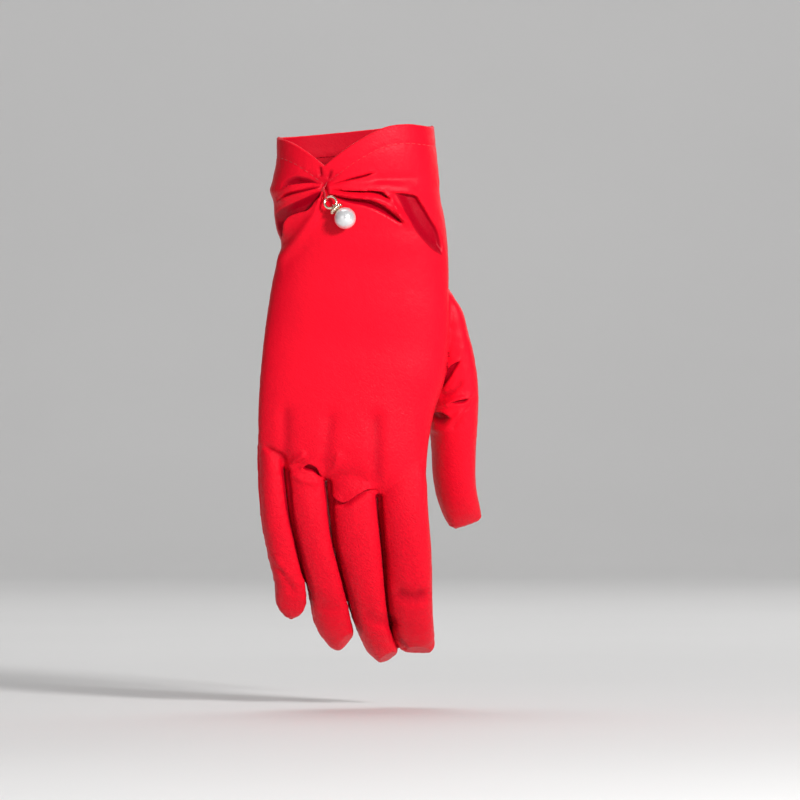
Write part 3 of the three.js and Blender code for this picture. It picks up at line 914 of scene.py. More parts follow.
        # The points lie closer together towards the two sides, where the form turns.
        across = 0.45 * even + 0.55 * np.sin(even * math.pi / 2)
        across = np.concatenate([across, -across])[None, :]
        through = oval_depth(across, self.boxiness) * np.repeat([-1.0, 1.0], self.half_round)[None, :]
        cuff, palm, webs = np.linspace(1.28, 0.02, 40), np.linspace(0, -0.9, 90), np.linspace(-0.905, -1, 20)
        at = np.concatenate([cuff, palm, webs])[:, None]
        read = {column: self.sections.at(column, at) for column in self.sections.columns[1:]}
        width = self.width + (self.wrist_width - self.width) * read["wrist"]
        depth = self.depth + (self.wrist_depth - self.depth) * read["wrist"]
        middle = width * (read["right"] - read["left"]) / 2
        off = across * (width * (read["right"] + read["left"]) / 2 - inset)
        deep = np.where(through < 0, depth * read["front"], depth * read["rear"])
        x = middle + off
        slant = self.web_slant * at * at * off / self.width
        low = at * self.length + inset * np.maximum(0, -at) ** 8 - slant
        z = np.where(at > 0, at * self.rim_height(x, -through), low)
        below = np.clip(-z - self.knuckles, 0, 0.97 * self.bend_radius)
        back = self.bend_radius - np.sqrt(self.bend_radius**2 - below**2)
        return loft(np.stack([x, back + through * (deep - inset), z], axis=-1))


@dataclass(frozen=True)
class FingerForm:
    """A finger.

    Attributes:
        name: Which finger.
        width: Across the finger at its root.
        length: From its web to its tip.
        x: Middle of its root.
        hand: The hand that it grows from.
        edges: Its two sides. below is the distance straight down from the gather; left and right are
            places across, at the middle of the finger's depth.
        boxiness: 2 for oval sections, more for squarer corners.
        skew: How far the back of the finger lies towards the thumb, for each millimetre of depth.
        sections: Rows of the form. at is a share of the length; wide is a share of the width between
            the edges; deep is a share of the root's width.
    """

    name: str
    width: float
    length: float
    x: float
    hand: HandForm
    edges: SectionTable
    boxiness: float = 2.5
    skew: float = 0.35
    sections: SectionTable = SectionTable(
        ("at", "wide", "deep"),
        (
            (-0.3, 0.72, 0.66), (-0.08, 0.97, 0.92), (0.08, 1.0, 0.97), (0.28, 1.0, 0.96),
            (0.48, 1.0, 0.93), (0.68, 1.0, 0.88), (0.84, 1.0, 0.79), (0.93, 1.0, 0.64), (0.98, 0.97, 0.46),
            (1.0, 0.9, 0.34),
        ),
    )

    @property
    def web(self) -> float:
        """How far below the knuckles the finger leaves the hand."""
        share = self.x / self.hand.width + self.hand.little_side - 0.5
        return self.hand.length + self.hand.web_slant * share - self.hand.knuckles

    def middle(self, below: Array) -> Array:
        """Place across the hand of the finger's middle line, at a distance below the gather."""
        return (self.edges.at("left", below) + self.edges.at("right", below)) / 2

    def form(self, inset: float) -> Mesh:
        """Builds the finger as a closed form.

        Args:
            inset: How far inside the cloth's outer face it lies.

        Returns:
            Vertices and triangles.
        """
        at = np.concatenate([np.linspace(-0.3, 0.85, 60), np.linspace(0.86, 1.0, 20)])
        along = self.web + at * self.length
        below = -self.hand.bent(0.0, along)[:, 2]
        across = self.edges.at("right", below) - self.edges.at("left", below)
        wide = np.maximum(self.sections.at("wide", at) * across / 2 - inset, 0.4)
        deep = np.maximum(self.sections.at("deep", at) * self.width / 2 - inset, 0.5)
        centre = self.hand.bent(self.middle(below), along)
        return section_tube(centre, wide, deep, self.boxiness, inset, self.skew)


@dataclass(frozen=True)
class ThumbForm:
    """The thumb.

    Attributes:
        width: Across the thumb.
        length: Straight down from its root.
        root: How far below the gather it starts.
        hand: The hand that it grows from.
        skew: How far the front of the thumb lies outwards, for each millimetre of depth.
        sections: Rows of the form. down is a share of the length; out and behind are shares of the hand's
            width and depth; wide and deep are shares of the thumb's width, as seen from the front and side.
    """

    width: float
    length: float
    root: float
    hand: HandForm
    skew: float = 0.3
    sections: SectionTable = SectionTable(
        ("down", "out", "behind", "wide", "deep"),
        (
            (0.0, 0.475, 0.18, 0.46, 0.5), (0.06, 0.506, 0.24, 0.62, 0.7), (0.105, 0.527, 0.28, 0.76, 0.84),
            (0.185, 0.539, 0.34, 0.91, 1.0), (0.3, 0.559, 0.42, 1.07, 1.14), (0.42, 0.571, 0.5, 1.15, 1.2),
            (0.55, 0.573, 0.58, 1.12, 1.14), (0.69, 0.576, 0.68, 1.01, 1.02),
            (0.82, 0.582, 0.8, 0.97, 0.94), (0.9, 0.603, 0.9, 0.93, 0.82), (0.96, 0.632, 0.99, 0.86, 0.56),
            (0.987, 0.65, 1.03, 0.78, 0.36), (1.0, 0.658, 1.05, 0.68, 0.24),
        ),
    )

    def middle(self, down: Array) -> Array:
        """Finds places on the thumb's middle line.

        Args:
            down: Shares of the thumb's length.

        Returns:
            The places, one a row.
        """
        x = self.sections.at("out", down) * self.hand.width
        y = self.sections.at("behind", down) * self.hand.depth
        return np.stack([x, y, -self.root - down * self.length], axis=-1)

    def half_sizes(self, down: Array, spare: float) -> tuple[Array, Array]:
        """Works out the sections' half sizes across and front to back.

        Args:
            down: Places along the thumb.
            spare: What is added all round.

        Returns:
            The half sizes across, before the skew, and front to back.
        """
        wide = self.sections.at("wide", down) * self.width / 2 + spare
        deep = np.maximum(self.sections.at("deep", down) * self.width / 2 + spare, 0.5)
        return np.sqrt(wide**2 - (self.skew * deep) ** 2), deep

    def form(self, inset: float) -> Mesh:
        """Builds the thumb as a closed form.

        Args:
            inset: How far inside the cloth's outer face it lies.

        Returns:
            Vertices and triangles.
        """
        down = np.concatenate([np.linspace(0, 0.93, 60), np.linspace(0.94, 1.0, 12)])
        wide, deep = self.half_sizes(down, -inset)
        return section_tube(self.middle(down), wide, deep, self.hand.boxiness, inset, self.skew)

    def seam_value(self, places: Array, allowance: float) -> Array:
        """Measures places against the thumb's seam.

        Args:
            places: Places on the smooth skin.
            allowance: How far past the thumb the seam runs.

        Returns:
            How far outside the seam each lies, in millimetres, negative on the thumb.
        """
        down = -(places[:, 2] + self.root) / self.length
        centre = self.middle(np.clip(down, 0, 1))
        wide, deep = self.half_sizes(np.clip(down, 0, 0.85), allowance)
        power = self.hand.boxiness
        off = places[:, 1] - centre[:, 1]
        rx, ry = np.abs(places[:, 0] - centre[:, 0] + self.skew * off) / wide, np.abs(off) / deep
        value = ((rx**power + ry**power) ** (1 / power) - 1) * np.minimum(wide, deep)
        # Past both ends the seam closes, and below the web all that is near belongs to the thumb.
        beyond = np.maximum(0, np.maximum(-down, down - 1.04)) * self.length
        return value + 0.8 * beyond - 3.0 * smoothstep(down, 0.55, 0.75)


def section_tube(centre: Array, wide: Array, deep: Array, boxiness: float, inset: float, skew: float) -> Mesh:
    """Builds a closed tube of box-cornered ovals square to a path.

    Args:
        centre: Points of the path.
        wide: Half width of each section.
        deep: Half depth of each section.
        boxiness: Shape of the sections.
        inset: How far the end is drawn back along the path.
        skew: How far the sections lean across, for each millimetre of depth.

    Returns:
        Vertices and triangles.
    """
    along = unit(np.gradient(centre, axis=0))
    across = unit(np.array([1.0, 0, 0]) - along * along[:, :1])
    through = np.cross(along, across)
    centre = centre.copy()
    centre[-1] -= along[-1] * inset
    turn = full_turn(56)
    power = 2 / boxiness
    c = np.sign(np.cos(turn)) * np.abs(np.cos(turn)) ** power
    s = np.sign(np.sin(turn)) * np.abs(np.sin(turn)) ** power
    ring = c[None, :, None] * across[:, None] * wide[:, None, None]
    ring = ring + s[None, :, None] * (through + skew * across)[:, None] * deep[:, None, None]
    return loft(centre[:, None] + ring)


@dataclass(frozen=True)
class TipCut:
    """The flat, sewn end of a finger.

    Attributes:
        finger: Number of the finger, from 0 for the little finger.
        left: Left end of its front edge as (x, z).
        right: Right end of its front edge.
        tilt: How far its face turns up towards the front, in degrees.
        reach: How far above its front edge places are pressed, in millimetres.
        near: How close to the middle of that edge the front is looked for, in millimetres.
        firmness: How much of what stands out is pressed back, as a share.
    """

    finger: int
    left: tuple[float, float]
    right: tuple[float, float]
    tilt: float = 24.0
    reach: float = 12.0
    near: float = 2.0
    firmness: float = 0.95

    def flatten(self, place: Array, owner: Array) -> Array:
        """Presses the places that stand out past the end back onto it.

        Args:
            place: Places on the glove.
            owner: Which finger each place is nearest to.

        Returns:
            The new places.
        """
        (x0, z0), (x1, z1) = self.left, self.right
        middle = np.array([(x0 + x1) / 2, (z0 + z1) / 2])
        size = math.hypot(x1 - x0, z1 - z0)
        down = np.array([(z1 - z0) / size, -(x1 - x0) / size])
        away = np.hypot(place[:, 0] - middle[0], place[:, 2] - middle[1])
        front = place[(away < self.near) & (owner == self.finger), 1].min()
        lean = math.radians(self.tilt)
        face = np.array([down[0] * math.cos(lean), -math.sin(lean), down[1] * math.cos(lean)])
        past = (place - np.array([middle[0], front, middle[1]])) @ face
        past = np.maximum(past, 0) * (owner == self.finger) * (place[:, 2] < middle[1] + self.reach)
        return place - self.firmness * past[:, None] * face


# The cloth


def measured(path: Route, x: Array, z: Array) -> tuple[Array, Array, Array]:
    """Measures places against a route.

    Args:
        path: Points of the route as (x, z).
        x: Places across.
        z: Heights.

    Returns:
        Distance from the route, positive to its left; share of the way along it; and the direction
        that points to its right, one a row.
    """
    route = smooth_path(path)
    best = np.full(len(x), 1e9)
    signed, where = np.zeros(len(x)), np.zeros(len(x))
    right = np.zeros((len(x), 2))
    for i, (a, b) in enumerate(zip(route[:-1], route[1:])):
        step = b - a
        size = float(np.hypot(*step))
        dx, dz = x - a[0], z - a[1]
        t = np.clip((dx * step[0] + dz * step[1]) / size**2, 0, 1)
        away = np.hypot(dx - t * step[0], dz - t * step[1])
        closer = away < best
        best[closer] = away[closer]
        signed[closer] = (np.sign(step[0] * dz - step[1] * dx) * away)[closer]
        where[closer] = (i + t[closer]) / (len(route) - 1)
        right[closer] = np.array([step[1], -step[0]]) / size
    return signed, where, right


def close_to(route: Array, reach: float, x: Array, z: Array) -> Array:
    """Lists the places that lie within reach of the box round a route."""
    low, high = route.min(axis=0) - reach, route.max(axis=0) + reach
    return np.flatnonzero((x > low[0]) & (x < high[0]) & (z > low[1]) & (z < high[1]))


@dataclass(frozen=True)
class Pocket:
    """A hollow in the cloth between two lines that meet at both ends.

    Attributes:
        face: Side of the glove.
        depth: How deep it is, in millimetres.
        edge: Width of the drop at its near line, where a rounded lip stands out.
        rise: Width of the rise at its far line.
        near: Its crisp line as (x, z), seen square to its face.
        far: Its softer line, in the same direction.
        lip: Height of the lip, as a share of the depth.
        roll: Width of the lip.
        shade: How much painted shade darkens it, for each millimetre of depth.
    """

    face: Face
    depth: float
    edge: float
    rise: float
    near: Route
    far: Route
    lip: float = 0.28
    roll: float = 1.3
    shade: float = 0.7

    def shift(self, x: Array, z: Array) -> Array:
        """Works out how far the pocket moves places on its face.

        Args:
            x: Places across.
            z: Heights.

        Returns:
            For each place how far it moves along x, outwards and along z, and how much painted shade darkens
            it.
        """
        moved = np.zeros((len(x), 4))
        outline = np.vstack([smooth_path(self.near), smooth_path(self.far)[::-1]])
        around = close_to(outline, 3 * self.roll + 1, x, z)
        if not len(around):
            return moved
        px, pz = x[around], z[around]
        inside = np.zeros(len(px), bool)
        area = 0.0
        for a, b in zip(outline, np.roll(outline, -1, axis=0)):
            area += a[0] * b[1] - b[0] * a[1]
            if a[1] != b[1]:
                crosses = (pz < a[1]) != (pz < b[1])
                inside ^= crosses & (px < a[0] + (pz - a[1]) * (b[0] - a[0]) / (b[1] - a[1]))
        near, where, right = measured(self.near, px, pz)
        far = np.abs(measured(self.far, px, pz)[0])
        near = np.abs(near)
        ends = smoothstep(where, 0, 0.04) * (1 - smoothstep(where, 0.8, 1.0))
        drop = smoothstep(near, 0, self.edge)
        sunk = drop * smoothstep(far, 0, self.rise) * inside
        rolled = np.exp(-((near / self.roll) ** 2)) * np.where(inside, 1 - drop, 1.0)
        toward = right if area < 0 else -right
        over = min(0.3 * self.depth, 0.65) * rolled * ends
        moved[around, 0] = over * toward[:, 0]
        moved[around, 1] = self.depth * (self.lip * rolled * ends - sunk)
        moved[around, 2] = over * toward[:, 1]
        # Painted shade: the pocket's floor gets a darker colour than its depth alone gives.
        moved[around, 3] = self.shade * self.depth * drop * smoothstep(far, 0, 1.0) * inside
        return moved


@dataclass(frozen=True)
class Fold:
    """A fold in the cloth.

    Attributes:
        face: Side of the glove.
        kind: Shape of its section.
        height: How far it lifts or sinks the cloth, in millimetres.
        width: Half its width, or the width of its pocket, in millimetres.
        path: Its route as (x, z), seen square to its face.
        pinched: Whether it starts at the gather, where it is narrow but deep.
        edge: How sharply a flap's edge drops, in millimetres.
        roll: Width of the rounded edge of a flap.
    """

    face: Face
    kind: FoldKind
    height: float
    width: float
    path: Route
    pinched: bool = False
    edge: float = 0.8
    roll: float = 1.5

    def shift(self, x: Array, z: Array) -> Array:
        """Works out how far the fold moves places on its face.

        Args:
            x: Places across.
            z: Heights.

        Returns:
            For each place how far it moves along x, outwards and along z, and how much painted shade darkens
            it.
        """
        moved = np.zeros((len(x), 4))
        near = close_to(np.array(self.path), 3.2 * self.width + 3 * self.roll, x, z)
        if not len(near):
            return moved
        signed, where, down = measured(self.path, x[near], z[near])
        if self.path[-1][0] < self.path[0][0]:
            signed, down = -signed, -down
        start = smoothstep(where, 0, 0.05) if self.pinched else smoothstep(where, 0, 0.2)
        size = self.height * start * (1 - smoothstep(where, 0.78, 1.0))
        wide = self.width * (0.3 + 0.7 * smoothstep(where, 0, 0.5)) if self.pinched else self.width
        if self.kind is FoldKind.RIDGE:
            moved[near, 1] = size * np.exp(-((signed / wide) ** 2))
        elif self.kind is FoldKind.VALLEY:
            moved[near, 1] = -size * np.exp(-((signed / wide) ** 2))
        elif self.kind is FoldKind.CREASE:
            moved[near, 1] = -size * np.exp(-np.abs(signed) / wide)
        else:
            drop = smoothstep(-signed, 0, self.edge)
            rolled = np.exp(-((np.maximum(signed, 0) / self.roll) ** 2)) * (1 - drop)
            pocket = np.exp(-((np.maximum(-signed - self.edge, 0) / wide) ** 1.6)) * drop
            over = np.minimum(0.32 * size, 0.7) * rolled
            moved[near, 0] = over * down[:, 0]
            moved[near, 1] = size * (0.45 * rolled - pocket)
            moved[near, 2] = over * down[:, 1]
        return moved


# Short names for the tables of folds.
BACK, PALM, THUMB = Face
RIDGE, VALLEY, CREASE, FLAP = FoldKind

# The hollows on the thumb: depth, edge, rise, near line and far line.
THUMB_POCKETS = tuple(
    Pocket(THUMB, *row)
    for row in (
        (
            1.3, 0.7, 1.4,
            ((27.9, -81.8), (31.2, -75.0), (34.8, -67.8), (37.8, -65.4), (41.3, -64.2)),
            ((27.9, -81.8), (33.0, -76.0), (35.9, -72.4), (39.1, -67.6), (41.3, -64.2)),
        ),
        (
            1.1, 0.6, 1.2,
            ((34.0, -81.6), (38.8, -79.9), (41.8, -79.3), (45.0, -79.0)),
            ((34.0, -81.6), (39.4, -82.0), (42.6, -81.3), (45.0, -79.0)),
        ),
        (
            1.1, 1.0, 2.6,
            ((26.4, -84.6), (31.4, -84.2), (34.0, -84.9), (37.2, -87.0)),
            ((26.4, -84.6), (29.8, -89.2), (33.8, -89.9), (37.2, -87.0)),
        ),
    )
)

# The hollows beside the gather and over the ring finger: depth, edge, rise, near line and far line.
POCKETS = THUMB_POCKETS + tuple(
    Pocket(BACK, *row)
    for row in (
        (
            2.1, 1.2, 5.0,
            (
                (11.0, 0.1), (17.3, -0.2), (21.3, -0.7), (23.7, -1.4), (24.9, -3.0), (27.6, -7.2),
                (29.4, -10.2), (31.3, -13.1), (32.6, -15.6), (33.5, -19.5), (33.9, -25.6),
            ),
            (
                (11.0, 0.1), (12.9, -0.6), (14.7, -2.0), (16.6, -5.3), (18.5, -9.4), (20.6, -13.1),
                (23.2, -16.9), (26.4, -20.6), (29.8, -23.6), (33.9, -25.6),
            ),
        ),
        (
            2.4, 0.6, 0.8,
            ((-11.8, 1.0), (-2.3, 0.5), (5.8, 0.4), (10.0, 0.0), (12.0, -1.3), (14.2, -4.2)),
            ((-11.8, 1.0), (-2.3, -0.8), (5.0, -1.1), (8.7, -1.8), (11.5, -3.0), (14.2, -4.2)),
        ),
        (
            2.1, 0.8, 2.2,
            (
                (-11.4, 0.1), (-7.0, -1.5), (-2.3, -2.4), (2.6, -2.7), (6.5, -3.3), (10.0, -4.8),
                (12.9, -6.7), (15.6, -8.9), (17.8, -11.1), (19.2, -13.2),
            ),
            (
                (-11.4, 0.1), (-7.4, -3.3), (-2.3, -5.2), (2.6, -6.2), (7.5, -7.8), (11.4, -9.8),
                (14.9, -11.8), (17.3, -13.0), (19.2, -13.2),
            ),
        ),
        (
            1.8, 0.8, 1.0,
            ((-11.8, 1.6), (-5.4, 2.7), (-0.7, 3.6), (2.4, 4.3), (5.5, 5.3), (8.5, 6.9)),
            ((-11.8, 1.6), (-5.4, 3.6), (-1.8, 4.9), (2.4, 6.0), (5.5, 6.8), (8.5, 6.9)),
        ),
        (
            1.5, 0.7, 3.2,
            ((-12.5, 1.5), (-16.3, 2.4), (-19.6, 2.5), (-22.9, 2.2), (-26.2, 1.5), (-29.5, 0.6)),
            ((-12.5, 1.5), (-16.0, 4.0), (-19.6, 5.6), (-23.5, 6.2), (-27.5, 4.4), (-29.5, 0.6)),
        ),
        (
            1.7, 0.5, 2.0,
            ((-12.5, 0.9), (-16.3, 0.1), (-19.6, -0.75), (-24.0, -1.8), (-27.3, -2.9), (-31.5, -4.9)),
            ((-12.5, 0.9), (-16.3, 1.4), (-19.6, 1.1), (-24.0, 0.3), (-28.0, -1.1), (-31.5, -4.9)),
        ),
        (
            1.9, 0.7, 1.4,
            (
                (-21.5, -106.4), (-19.3, -104.4), (-17.2, -104.0), (-14.7, -105.6), (-13.5, -107.8),
                (-12.0, -110.6),
            ),
            (
                (-21.5, -106.4), (-19.6, -107.2), (-16.9, -107.9), (-14.4, -109.4), (-13.2, -110.1),
                (-12.0, -110.6),
            ),
        ),
        (
            2.3, 0.9, 3.4,
            (
                (-12.3, 0.1), (-13.4, -2.8), (-15.2, -4.6), (-16.7, -6.7), (-18.7, -8.3), (-21.8, -9.0),
                (-24.9, -10.2), (-26.4, -11.8), (-27.5, -14.4), (-28.9, -20.0),
            ),
            (
                (-12.3, 0.1), (-17.4, -1.5), (-21.8, -3.1), (-26.2, -4.9), (-30.6, -7.4), (-32.4, -11.0),
                (-31.4, -15.0), (-28.9, -20.0),
            ),
        ),
    )
)

# The ridges that fan out from the gather: kind, height, width and path.
GATHER_FOLDS = tuple(
    Fold(BACK, *row, pinched=True)
    for row in (
        (RIDGE, 0.6, 1.6, ((-12.5, 1.4), (-2.8, 1.7), (7.5, 1.9), (17.8, 1.2), (24.5, 0.8))),
        (
            RIDGE, 1.3, 1.2,
            ((-11.0, -0.2), (-2.3, -1.5), (7.5, -2.7), (13.4, -5.5), (18.6, -10.2), (22.0, -15.0)),
        ),
        (RIDGE, 0.9, 1.4, ((-13.4, 0.2), (-19.6, -1.3), (-24.0, -2.4), (-31.0, -5.0))),
        (
            RIDGE, 1.2, 2.0,
            ((-13.0, -2.5), (-15.2, -7.8), (-17.4, -11.6), (-22.7, -18.9), (-28.4, -25.5), (-31.0, -32.0)),
        ),
    )
)

# The other folds: face, kind, height, width and path.
OTHER_FOLDS = tuple(
    Fold(*row)
    for row in (
        (BACK, VALLEY, 0.45, 1.5, ((5.5, 4.2), (12.0, 4.6), (18.5, 4.9), (25.0, 4.9))),
        (BACK, RIDGE, 0.9, 0.8, ((11.4, -0.5), (13.3, -2.6), (15.2, -6.0), (17.1, -9.9), (19.4, -13.4))),
        (BACK, VALLEY, 0.9, 0.6, ((-14.0, 9.4), (-13.9, 7.4), (-13.6, 4.9))),
        (BACK, VALLEY, 0.8, 0.6, ((-9.6, 7.9), (-10.1, 6.0), (-10.8, 4.2))),
        (BACK, VALLEY, 0.9, 2.6, ((-27.0, -80.0), (-27.0, -94.0), (-27.6, -105.0))),
        (BACK, VALLEY, 0.8, 2.8, ((-9.0, -82.0), (-10.7, -96.0), (-12.0, -109.0))),
        (BACK, VALLEY, 1.0, 3.0, ((7.6, -82.0), (8.0, -98.0), (8.3, -116.0))),
        (BACK, VALLEY, 1.0, 1.1, ((-36.0, -97.6), (-31.6, -100.1), (-28.5, -102.5), (-27.0, -105.0))),
        (BACK, RIDGE, 1.2, 1.3, ((-27.0, -107.0), (-22.6, -102.6), (-18.5, -100.4))),
        (BACK, RIDGE, 0.7, 1.4, ((-26.1, -107.4), (-22.4, -109.8), (-18.7, -111.2), (-12.6, -112.0))),
        (BACK, RIDGE, 0.6, 1.5, ((-12.0, -110.4), (-8.0, -105.0), (-6.5, -99.0))),
        (
            BACK, FLAP, 1.5, 1.6,
            ((-10.2, -115.6), (-6.4, -118.2), (-4.0, -118.6), (0.9, -115.5), (4.6, -113.8), (9.4, -114.3)),
        ),
        (BACK, VALLEY, 1.3, 3.0, ((14.0, -153.0), (19.0, -156.0), (24.0, -156.0), (28.0, -153.5))),
        (BACK, VALLEY, 0.8, 2.6, ((2.0, -160.0), (7.0, -165.0), (13.0, -166.5), (16.0, -165.0))),
        (BACK, VALLEY, 0.5, 2.2, ((-15.0, -158.5), (-10.5, -161.0), (-6.0, -161.0))),
        (BACK, CREASE, 0.8, 1.0, ((-31.0, -144.0), (-28.2, -147.6), (-25.4, -152.0), (-24.6, -157.0))),
        (BACK, RIDGE, 0.7, 0.9, ((-32.8, -138.4), (-28.5, -144.6), (-24.9, -149.5), (-22.4, -152.0))),
        (BACK, RIDGE, 0.5, 0.8, ((-21.0, -148.0), (-20.4, -154.0), (-20.9, -160.5))),
        (THUMB, VALLEY, 0.8, 1.2, ((41.8, -72.1), (36.9, -77.0), (31.4, -78.8))),
        (THUMB, RIDGE, 0.7, 0.9, ((26.7, -84.0), (33.2, -82.0), (38.8, -79.4), (46.0, -78.2))),
        (THUMB, RIDGE, 0.8, 1.3, ((27.3, -91.0), (33.5, -91.3), (38.1, -87.0), (42.8, -82.8))),
        (THUMB, CREASE, 0.7, 0.8, ((44.6, -80.7), (40.0, -87.4), (36.3, -92.3))),
        (PALM, VALLEY, 1.0, 2.2, ((31.0, -22.0), (14.0, -27.0), (-6.0, -25.0), (-26.0, -19.0))),
        (PALM, RIDGE, 0.8, 2.2, ((30.0, -15.0), (12.0, -19.0), (-8.0, -18.0), (-28.0, -12.0))),
        (PALM, VALLEY, 0.8, 1.8, ((24.0, -34.0), (8.0, -37.0), (-10.0, -33.0))),
        (PALM, VALLEY, 1.1, 2.4, ((27.0, -52.0), (14.0, -62.0), (8.0, -78.0), (9.0, -92.0))),
        (PALM, VALLEY, 0.7, 1.8, ((24.0, -92.0), (8.0, -93.0), (-10.0, -88.0), (-28.0, -80.0))),
        (PALM, CREASE, 0.9, 1.2, ((-36.0, -99.0), (-31.0, -101.0), (-26.0, -106.0))),
        (PALM, CREASE, 1.0, 1.2, ((-24.0, -106.0), (-18.0, -108.5), (-12.0, -111.0))),
        (PALM, CREASE, 1.0, 1.2, ((-8.0, -112.5), (-1.0, -114.5), (6.0, -117.0))),
        (PALM, CREASE, 1.0, 1.2, ((10.0, -118.0), (18.0, -120.0), (27.0, -121.0))),
    )
)


@dataclass
class GloveCloth:
    """The satin of the glove: shaped, folded and cut into its panels.

    Attributes:
        hand: The hand and the cuff.
        fingers: The four fingers, from the little finger.
        thumb: The thumb.
        cloth: Thickness of the satin.
        puff: How far the cloth is drawn in while it is shaped, and let out after.
        grid: Spacing of the mesh.
        gusset_width: Width of the strips between the fingers at the webs.
        gussets: How the strips narrow. half is a share of the width.
        hem_line: How far below the rim the hem is stitched.
        thumb_allowance: How far past the thumb its seam runs.
        tips: Flat ends of the ring, middle and index fingers.
        skin: The shaped cloth, which shape makes.
    """

    hand: HandForm
    fingers: list[FingerForm]
    thumb: ThumbForm
    cloth: float = 0.8
    puff: float = 1.1
    grid: float = 0.97
    gusset_width: float = 7.5
    gussets: SectionTable = SectionTable(
        ("at", "half"),
        ((-0.13, 0.5), (0.03, 0.5), (0.25, 0.42), (0.5, 0.31), (0.72, 0.19), (0.9, 0.08), (1.1, -0.04)),
    )
    hem_line: float = 7.0
    thumb_allowance: float = 1.2
    tips: tuple[TipCut, ...] = (
        TipCut(1, (-10.3, -174.6), (-2.7, -169.6)),
        TipCut(2, (7.4, -179.8), (15.8, -176.4), 16.0),
        TipCut(3, (17.0, -174.8), (30.7, -174.6), 18.0),
    )
    skin: Skin | None = None

    @property
    def gaps(self) -> list[tuple[FingerForm, FingerForm]]:
        """The pairs of fingers that lie side by side."""
        return list(zip(self.fingers[:-1], self.fingers[1:]))

    def below_rim(self, base: Array) -> Array:
        """Says how far below the rim places on the smooth skin lie, in millimetres."""
        frontness = -base[:, 1] / (0.5 * self.hand.wrist_depth)
        return self.hand.rim_height(base[:, 0], frontness) - base[:, 2]

    def shape(self) -> None:
        """Joins the forms into one skin, lets it out and lays the folds in it."""
        parts = [self.hand.form(self.puff), self.thumb.form(self.puff)]
        parts += [finger.form(self.puff) for finger in self.fingers]
        places, faces = joined(parts)
        rough = mesh_object("shaping", places, faces, [])
        modifier = rough.modifiers.new("grid", "REMESH")
        modifier.mode = "VOXEL"
        modifier.voxel_size = self.grid * MM * 1.0
        mesh = rough.evaluated_get(bpy.context.evaluated_depsgraph_get()).to_mesh()
        place = np.empty(len(mesh.vertices) * 3)
        mesh.vertices.foreach_get("co", place)
        place = place.reshape(-1, 3) / MM
        mesh.calc_loop_triangles()
        faces = np.empty(len(mesh.loop_triangles) * 3, int)
        mesh.loop_triangles.foreach_get("vertices", faces)
        faces = faces.reshape(-1, 3)
        rough.evaluated_get(bpy.context.evaluated_depsgraph_get()).to_mesh_clear()
        bpy.data.objects.remove(rough)
        place = relaxed(place, edges_of(faces), 8)
        place, faces = refined(place, faces, self.detailed(place))
        place = relaxed(place, edges_of(faces), 3)
        skin = Skin(place, place, place, np.zeros(len(place)), faces)
        place = place + skin.outward() * self.puff
        for tip in self.tips:
            place = tip.flatten(place, self.nearest_finger(place))
        skin.place = skin.base = place
        skin.normal = skin.outward()
        self.lay_folds(skin)
        self.skin = skin.cut(self.below_rim(skin.base))[1].largest()

    def detailed(self, place: Array) -> Array:
        """Picks the places with small forms, which get a finer mesh.

        Args:
            place: Places on the drawn-in skin.

        Returns:
            For each place whether it is near the gather, over the knuckles, on the thumb or on a fingertip.
        """
        x, y, z = place.T
        front = y < np.maximum(0, -z - self.hand.knuckles) * 0.25
        gather = (z < 10.5) & (z > -8 - 0.55 * np.abs(x - self.hand.gather_x)) & front
        knuckles = (z < -94) & (z > -122) & (x < 12) & front
        thumb = (self.thumb.seam_value(place, self.thumb_allowance) < 0) & (z < -58) & (z > -98)
        return gather | knuckles | thumb | (z < -164)

    def lay_folds(self, skin: Skin) -> None:
        """Moves the cloth by its folds, seams and small wrinkles, and sets the heights that paint shade into
        its colour.

        Args:
            skin: The smooth skin. Its places, directions and heights are changed.
        """
        x, _, z = skin.base.T
        ny = skin.normal[:, 1]
        on_thumb = self.thumb.seam_value(skin.base, self.thumb_allowance)
        weights = {
            Face.BACK: smoothstep(-ny, 0.0, 0.4) * smoothstep(on_thumb, -0.5, 1.0),
            Face.PALM: smoothstep(ny, 0.1, 0.55) * smoothstep(on_thumb, -0.5, 1.0),
            Face.THUMB: smoothstep(-ny, -0.1, 0.5) * (1 - smoothstep(on_thumb, -0.35, 0.15)),
        }
        moved = np.zeros((len(x), 4))
        for fold in POCKETS + GATHER_FOLDS + OTHER_FOLDS:
            moved += fold.shift(x, z) * weights[fold.face][:, None]
        away = np.hypot(x - self.hand.gather_x, z - 1.5)
        dip = -0.3 * np.exp(-((away / 1.3) ** 2)) - 1.2 * np.exp(-((away / 8.0) ** 2))
        lift = moved[:, 1] + dip * smoothstep(-ny, 0.1, 0.5)
        seam, wrinkle = self.seam_relief(skin)
        lift += seam
        calm = smoothstep(np.abs(lift), 0.0, 1.0) * 0.5 + 0.5
        wrinkle += 0.22 * relief(skin.base, (16, 16, 22), 3.1) * calm
        fingers = smoothstep(-z, 100, 125)
        wrinkle += 0.14 * relief(skin.base, (3.2, 3.2, 13), 7.7) * fingers
        wrinkle += 0.05 * relief(skin.base, (1.9, 1.9, 2.6), 5.3)
        place = skin.base + skin.normal * lift[:, None] + moved[:, :3] * np.array([1.0, 0.0, 1.0])
        place = relaxed(place, edges_of(skin.faces), 1)
        skin.place = place + skin.normal * wrinkle[:, None]
        # The heights set the colour: painted shade down in the folds, and more painted shade between the
        # fingers and in the pockets.
        skin.height = lift + 0.6 * wrinkle - 1.5 * self.shade_between_fingers(skin.base) - moved[:, 3]
        skin.normal = skin.outward()

